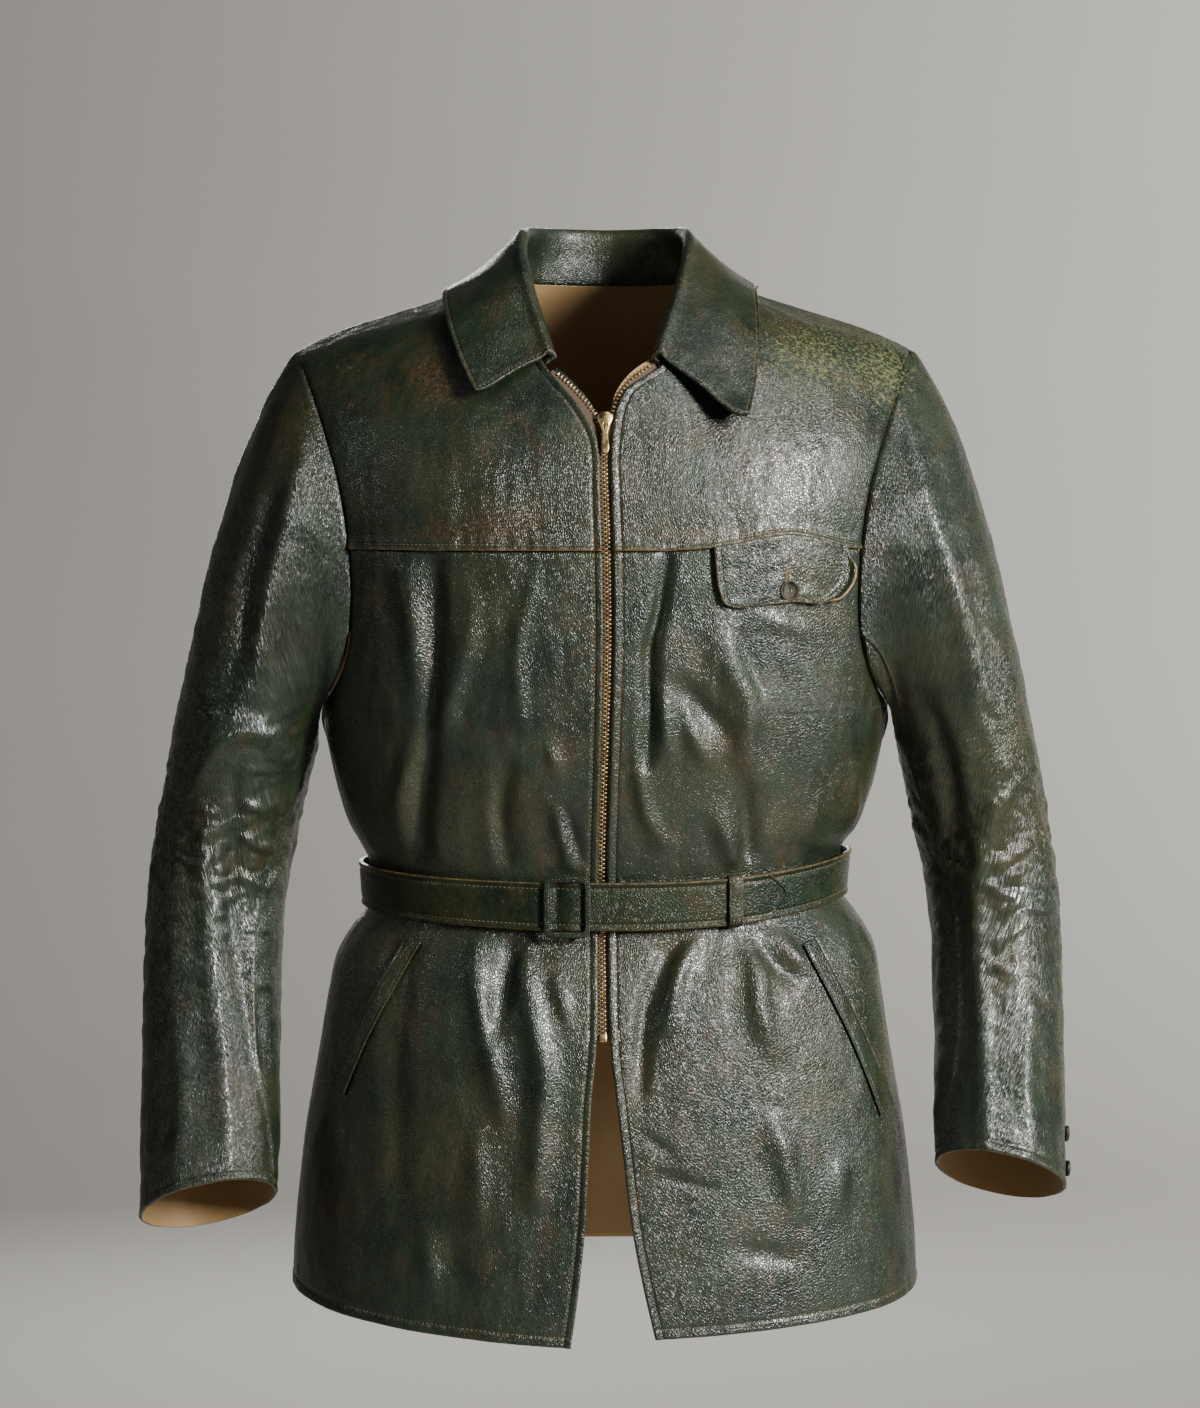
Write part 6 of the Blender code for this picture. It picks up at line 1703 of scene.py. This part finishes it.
def brass(name, dark, light):
    """Old brass: stained, with fine scratches."""
    made = Recipe(name, Metallic=1.0)
    place = made.place()
    stain = made.noise(place, 220.0, 4.0, 0.65)
    scratch = made.noise(made.vector("MULTIPLY", place, (1.0, 1.0, 0.15)), 2400.0, 2.0)
    made.feed("Base Color", made.mix(made.spread(stain, 0.35, 0.65), dark, light))
    made.feed("Roughness", 0.24 + stain * 0.22 + scratch * 0.06)
    made.raised(scratch * 0.00003 + stain * 0.00006)
    return made.material


def horn(name):
    """Dark, streaked horn-like plastic."""
    made = Recipe(name, Specular_IOR_Level=0.14)
    streak = made.noise(made.vector("MULTIPLY", made.place(), (1.0, 1.0, 0.3)), 320.0, 4.0, 0.6)
    dark, light = (0.008, 0.008, 0.006), (0.045, 0.036, 0.024)
    made.feed("Base Color", made.mix(made.spread(streak, 0.38, 0.62), dark, light))
    made.feed("Roughness", 0.42 + streak * 0.20)
    made.raised(streak * 0.00008)
    return made.material


def thread(name, dark, light):
    """Twisted thread, soiled in places."""
    made = Recipe(name)
    place = made.place()
    twist = made.noise(place, 1500.0, 2.0)
    soil = made.noise(place, 45.0, 3.0)
    pale = twist * 0.4 + made.spread(soil, 0.35, 0.65) * 0.6
    made.feed("Base Color", made.mix(pale, dark, light))
    made.feed("Roughness", 0.62 + twist * 0.2)
    made.raised(twist * 0.00008)
    return made.material


def studio(name):
    """The floor's matt grey."""
    made = Recipe(name)
    soft = made.noise(made.place(), 1.2, 2.0)
    made.feed("Base Color", made.mix(soft, (0.335, 0.325, 0.300), (0.365, 0.355, 0.330)))
    made.feed("Roughness", 0.85 + soft * 0.1)
    return made.material


# --- camera, floor and light ------------------------------------------------------------

SENSOR = 36.0            # millimetres
# The photo's height, and the distance from which it shows the jacket right, in its pixels
PHOTO_HEIGHT, PHOTO_DISTANCE = 1408, 4110
FLOOR_SIZE, FLOOR_Z, FLOOR_BACK_Y = 44.0, -1.30, 7.0
WALL_HEIGHT, WALL_BEND = 8.0, 4.0

# Name, place, what it is aimed at, size and power
LIGHTS = [
    ("key", (2.10, -2.10, 0.70), (0, 0, -0.30), (0.36, 1.2), 285),
    ("fill", (-2.4, -1.1, 0.7), (0, 0, -0.30), (0.5, 1.6), 8),
    ("top", (1.1, -0.8, 2.1), (0, 0, 0.0), (0.9, 0.7), 26),
    ("rear", (-0.3, 3.0, 0.2), (0, 0, -0.35), (1.2, 1.2), 42),
    ("backdrop", (3.2, 2.6, 2.0), (2.6, 7.0, 0.6), (1.2, 1.2), 380),
]


def add_camera():
    """The photo's view."""
    bpy.ops.object.select_all(action="DESELECT")
    data = bpy.data.cameras.new("camera")
    data.sensor_fit, data.sensor_height, data.sensor_width = "VERTICAL", SENSOR, SENSOR
    data.lens = SENSOR * PHOTO_DISTANCE / PHOTO_HEIGHT
    camera = bpy.data.objects.new("camera", data)
    camera.location = (-0.0036, -3.0, -0.106)
    camera.rotation_euler = (math.radians(90 - 3.81), 0, 0)
    bpy.context.scene.collection.objects.link(camera)
    bpy.context.scene.camera = camera


def edge_mode(made, test):
    """Selects the edges whose ends pass a test, and stays in edit mode."""
    bpy.ops.object.mode_set(mode="EDIT")
    bpy.ops.mesh.select_mode(type="EDGE")
    bpy.ops.mesh.select_all(action="DESELECT")
    bpy.ops.object.mode_set(mode="OBJECT")
    for edge in made.data.edges:
        edge.select = all(test(made.data.vertices[v].co) for v in edge.vertices)
    bpy.ops.object.mode_set(mode="EDIT")


def add_floor():
    """A floor that bends up into a wall behind the jacket."""
    middle = (0, FLOOR_BACK_Y - FLOOR_SIZE / 2, FLOOR_Z)
    floor = primitive("plane_add", "studio_floor", size=FLOOR_SIZE, location=middle)
    bpy.ops.object.transform_apply(location=True)
    edge_mode(floor, lambda end: end.y > FLOOR_BACK_Y - 0.1)
    bpy.ops.mesh.extrude_region_move(TRANSFORM_OT_translate={"value": (0, 0, WALL_HEIGHT)})
    bpy.ops.object.mode_set(mode="OBJECT")
    edge_mode(floor, lambda end: end.y > FLOOR_BACK_Y - 0.1 and end.z < FLOOR_Z + 0.3)
    bpy.ops.mesh.bevel(offset=WALL_BEND, segments=16)
    bpy.ops.object.mode_set(mode="OBJECT")
    floor.data.polygons.foreach_set("use_smooth", np.ones(len(floor.data.polygons), bool))
    floor.data.materials.append(studio("studio_grey"))


def add_light():
    """A faint light from all round, and the lamps."""
    world = bpy.data.worlds.new("studio")
    world.use_nodes = True
    sky = world.node_tree.nodes["Background"]
    sky.inputs["Color"].default_value = (1.0, 0.985, 0.95, 1.0)
    sky.inputs["Strength"].default_value = 0.045
    bpy.context.scene.world = world
    for name, at, aim, size, power in LIGHTS:
        data = bpy.data.lights.new(name, "AREA")
        data.shape, data.energy, data.color = "RECTANGLE", power, (1.0, 0.985, 0.955)
        data.size, data.size_y = size
        light = bpy.data.objects.new(name, data)
        light.location = at
        light.rotation_euler = (Vector(aim) - Vector(at)).to_track_quat("-Z", "Y").to_euler()
        light.visible_camera = False
        bpy.context.scene.collection.objects.link(light)


# --- all the pieces ---------------------------------------------------------------------

# How each kind of panel is made up: how its node's name starts, its slot, its wall, the
# finishes of its two faces, and how many cells of the outer face one of the inner face spans
MAKE_UP = table("start slot wall finish lining every", [
    ("front", "leather_green", WALL, "leather", "lining", 2),
    ("sleeve", "leather_green", WALL, "leather", "lining", 2),
    ("back", "leather_green", WALL, "leather", "lining", 4),
    ("collar", "leather_green", COLLAR_WALL, "leather", "leather", 4),
    ("pocket_flap", "leather_green", WALL, "leather", "leather", 4),
    ("pocket_welt", "leather_green", WELT_WALL, "leather", "leather", 4),
    ("zip_tape", "zip_tape", TAPE_WALL, "tape", "tape", 4),
    ("neck_facing_left", "lining_tan", TAPE_WALL, "lining", "lining", 4),
    ("neck_facing_right", "leather_green", TAPE_WALL, "leather", "leather", 4),
    ("belt_keeper", "leather_green", KEEPER_WALL, "strap", "strap", 4),
    ("belt", "leather_green", BELT_WALL, "strap", "strap", 4),
])
# Lines of stitches by group: their thread, whether both sides have them, and for each line its
# panel, the edge it follows, its inset in millimetres, and from and to which share of the edge
STITCHING = {
    "fronts": ("thread", True, [
        ("front", "near", 5.6, 0.0, 1.0), ("front", "low", 7.0, 0.0, 1.0),
        ("front_yoke", "near", 5.6, 0.0, 0.46), ("front_yoke", "low", 4.0, 0.0, 1.0),
    ]),
    "back": ("dark_thread", False, [("back", "low", 7.0, 0.0, 1.0)]),
    "collar": ("thread", False, [
        ("collar", "far", 3.2, 0.02, 0.98), ("collar", "low", 3.2, 0.30, 0.96),
        ("collar", "top", 3.2, 0.30, 0.96),
    ]),
    "sleeves": ("dark_thread", True, [
        ("sleeve_upper", "top", 7.0, 0.0, 1.0), ("sleeve_under", "top", 7.0, 0.0, 1.0),
    ]),
    "belt": ("thread", False, [
        ("belt", "low", 4.2, 0.0, 0.985), ("belt", "top", 4.2, 0.0, 0.985),
    ]),
    "flap": ("thread", False, [
        ("pocket_flap", "low", 4.2, 0.05, 0.95), ("pocket_flap", "near", 4.2, 0.08, 1.0),
        ("pocket_flap", "far", 4.2, 0.08, 1.0),
    ]),
    "welts": ("dark_thread", True, [
        ("pocket_welt", "low", 1.7, 0.0, 1.0), ("pocket_welt", "top", 1.7, 0.0, 1.0),
    ]),
}


def make_panels():
    """The panels, by the node of the model that each one replaces."""
    grids = sewn_panels()
    panels = {}
    for side, word in SIDE_NAMES.items():
        panels[f"front_{word}"], panels[f"front_yoke_{word}"] = make_front(side, word, grids)
        panels[f"sleeve_upper_{word}"], panels[f"sleeve_under_{word}"] = make_sleeve(side, grids)
    panels["back"] = make_back(grids)
    panels["collar"] = make_collar(grids)
    skins = {
        side: Skin([panels[f"front_{word}"], panels[f"front_yoke_{word}"]])
        for side, word in SIDE_NAMES.items()
    }
    panels["pocket_flap"] = make_flap(skins[LEFT], panels["front_left"].form[-1])
    for side, word in SIDE_NAMES.items():
        panels[f"pocket_welt_{word}"] = make_welt(side, skins[side])
        panels[f"zip_tape_{word}"] = make_tape(side)
        panels[f"neck_facing_{word}"] = make_facing(side)
    panels["belt"] = make_belt()
    panels["belt_keeper"] = make_keeper()
    return panels


def handed(piece, slot, *nodes, finish=None, body="jacket"):
    if finish:
        piece.data.materials.clear()
        piece.data.materials.append(finishes[finish])
    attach(piece, body)
    if nodes:
        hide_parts(*nodes)
    return piece


def sew_panels(panels):
    """All panels as solid pieces, by node."""
    pieces = {}
    for node, panel in panels.items():
        kind = next(row for row in MAKE_UP if node.startswith(row.start))
        lining, finish = finishes[kind.lining], finishes[kind.finish]
        piece = panel.solid("sewn_" + node, kind.wall, kind.every, lining, finish)
        pieces[node] = handed(piece, kind.slot, node)
    return pieces


def add_stitches(panels, stitch):
    """The lines of stitches, one piece for each group."""
    for group, (finish, both_sides, lines) in STITCHING.items():
        endings = ["_" + word for word in SIDE_NAMES.values()] if both_sides else [""]
        frames = []
        for ending in endings:
            for name, edge, inset, start, stop in lines:
                points, normals = panels[name + ending].line(edge, inset / 1000)
                count = len(points)
                chosen = slice(int(start * count), max(int(stop * count), 2))
                frames += along_line(
                    points[chosen], normals[chosen], STITCH_PITCH, 0.002, -STITCH_LIFT
                )
        handed(copies(f"stitches_{group}", stitch, frames), "leather_green", finish=finish)


def add_zip():
    """The teeth on both sides, the bottom stop, the slider and its pull."""
    tooth = tooth_shape()
    for side, word in SIDE_NAMES.items():
        handed(make_teeth(side, word, tooth), "zip_brass", finish="brass")
    bpy.data.objects.remove(tooth)
    handed(make_stop(), "zip_brass", finish="brass")
    matrix = zip_matrix()
    slider_body, slider_bail = make_slider(matrix)
    handed(slider_body, "zip_brass", "zip_slider", finish="brass")
    handed(slider_bail, "zip_brass", finish="brass")
    handed(make_pull(matrix), "zip_brass", "zip_pull", finish="pull", body="pull")


def add_buttons():
    """The buttons, each with two threads across its middle."""
    seats = {"flap_button": (FLAP_BUTTON_RADIUS, outward_by(FRONT))}
    for word in SIDE_NAMES.values():
        for number in (1, 2):
            seats[f"cuff_button_{word}_{number}"] = (CUFF_BUTTON_RADIUS, away_from_arm)
    stitch = stitch_shape(0.0046, 0.0009)
    for node, (radius, outward) in seats.items():
        seat = button_seat(node, outward)
        handed(make_button("turned_" + node, radius, seat), "button_horn", node, finish="horn")
        pair = [
            seat @ Matrix.Translation((0.0, shift * radius * 0.2, 0.0016)) @ Matrix.Scale(0.55, 4)
            for shift in (-1, 1)
        ]
        handed(copies("thread_" + node, stitch, pair), "leather_green", finish="pale_thread")
    bpy.data.objects.remove(stitch)


def add_bar_tacks(panels, stitch):
    """Three rows of stitches close together, at the foot of the zip on both fronts."""
    frames = []
    for word in SIDE_NAMES.values():
        points, normals = panels[f"front_{word}"].line("near", 0.0062)
        low, high = TACK_Z
        chosen = (points[:, 2] > low) & (points[:, 2] < high)
        for shift in (-0.0006, 0.0, 0.0006):
            for place in along_line(points[chosen], normals[chosen], 0.0024, 0.0, -0.0004):
                frames.append(place @ Matrix.Translation((0.0, shift, 0.0)))
    handed(copies("bar_tacks", stitch, frames), "leather_green", finish="pale_thread")


def add_buttonhole(flap, stitch):
    """Stitches across both edges of the flap's buttonhole, and a line of dark stitches in the slit
    between them as painted shade.
    """
    middle_row = flap.points[len(flap.points) // 2]
    column = np.argmin(np.abs(middle_row[:, 0] - FLAP_BUTTON_AT[0]))
    points, normals = flap.points[::-1, column], flap.normals()[::-1, column]
    low_end, high_end = BUTTONHOLE_Z
    chosen = (points[:, 2] < high_end + 0.0015) & (points[:, 2] > low_end - 0.0010)
    for name, shifts, size, pitch, finish in (
        ("buttonhole_edges", (-0.0013, 0.0013), 0.85, 0.0009, "worn_thread"),
        # The slit's row of dark stitches is painted shade standing in for the dark cut.
        ("buttonhole_slit_painted_shade", (0.0,), 1.0, 0.0015, "dark_thread"),
    ):
        frames = []
        for place in along_line(points[chosen], normals[chosen], pitch):
            for shift in shifts:
                turn = Matrix.Rotation(math.radians(90 if shift else 0), 4, "Z")
                aside = Matrix.Translation((0.0, shift, abs(shift) * 0.4))
                frames.append(place @ aside @ turn @ Matrix.Scale(size, 4))
        handed(copies(name, stitch, frames), "leather_green", finish=finish)


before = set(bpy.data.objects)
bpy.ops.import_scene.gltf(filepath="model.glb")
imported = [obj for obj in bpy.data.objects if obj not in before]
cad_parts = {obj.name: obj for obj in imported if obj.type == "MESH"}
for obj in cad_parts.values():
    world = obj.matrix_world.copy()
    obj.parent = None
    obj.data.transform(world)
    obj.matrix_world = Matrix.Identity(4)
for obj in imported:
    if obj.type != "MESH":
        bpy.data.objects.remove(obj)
bpy.ops.object.select_all(action="DESELECT")
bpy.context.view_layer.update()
add_camera()
finishes = {
    "leather": leather("green_leather"),
    "trim": leather("green_leather_trim", flat=False, polish=0.34),
    "strap": leather("green_leather_strap", polish=0.26),
    "lining": cloth(
        "tan_lining", (0.20, 0.115, 0.040), (0.36, 0.22, 0.085), 620.0, 0.00004, 0.5
    ),
    "tape": cloth(
        "zip_tape_cloth", (0.030, 0.020, 0.010), (0.100, 0.068, 0.032), 700.0, 0.00010, 0.75
    ),
    "brass": brass("old_brass", (0.26, 0.17, 0.07), (0.66, 0.50, 0.26)),
    "pull": brass("old_pull_brass", (0.20, 0.135, 0.060), (0.62, 0.46, 0.24)),
    "horn": horn("dark_horn"),
    "thread": thread("tan_thread", (0.060, 0.042, 0.018), (0.170, 0.120, 0.055)),
    "dark_thread": thread("green_thread", (0.010, 0.013, 0.008), (0.045, 0.042, 0.022)),
    "worn_thread": thread("buttonhole_thread", (0.13, 0.070, 0.024), (0.30, 0.17, 0.065)),
    "pale_thread": thread("pale_thread", (0.22, 0.19, 0.13), (0.48, 0.42, 0.31)),
}
made_panels = make_panels()
stitch = stitch_shape(0.0024, 0.00062)
made_pieces = sew_panels(made_panels)
add_stitches(made_panels, stitch)
add_zip()
handed(make_buckle(), "leather_green", "belt_buckle", finish="trim")
add_buttons()
add_bar_tacks(made_panels, stitch)
add_buttonhole(made_panels["pocket_flap"], stitch)
bpy.data.objects.remove(stitch)
add_floor()
add_light()
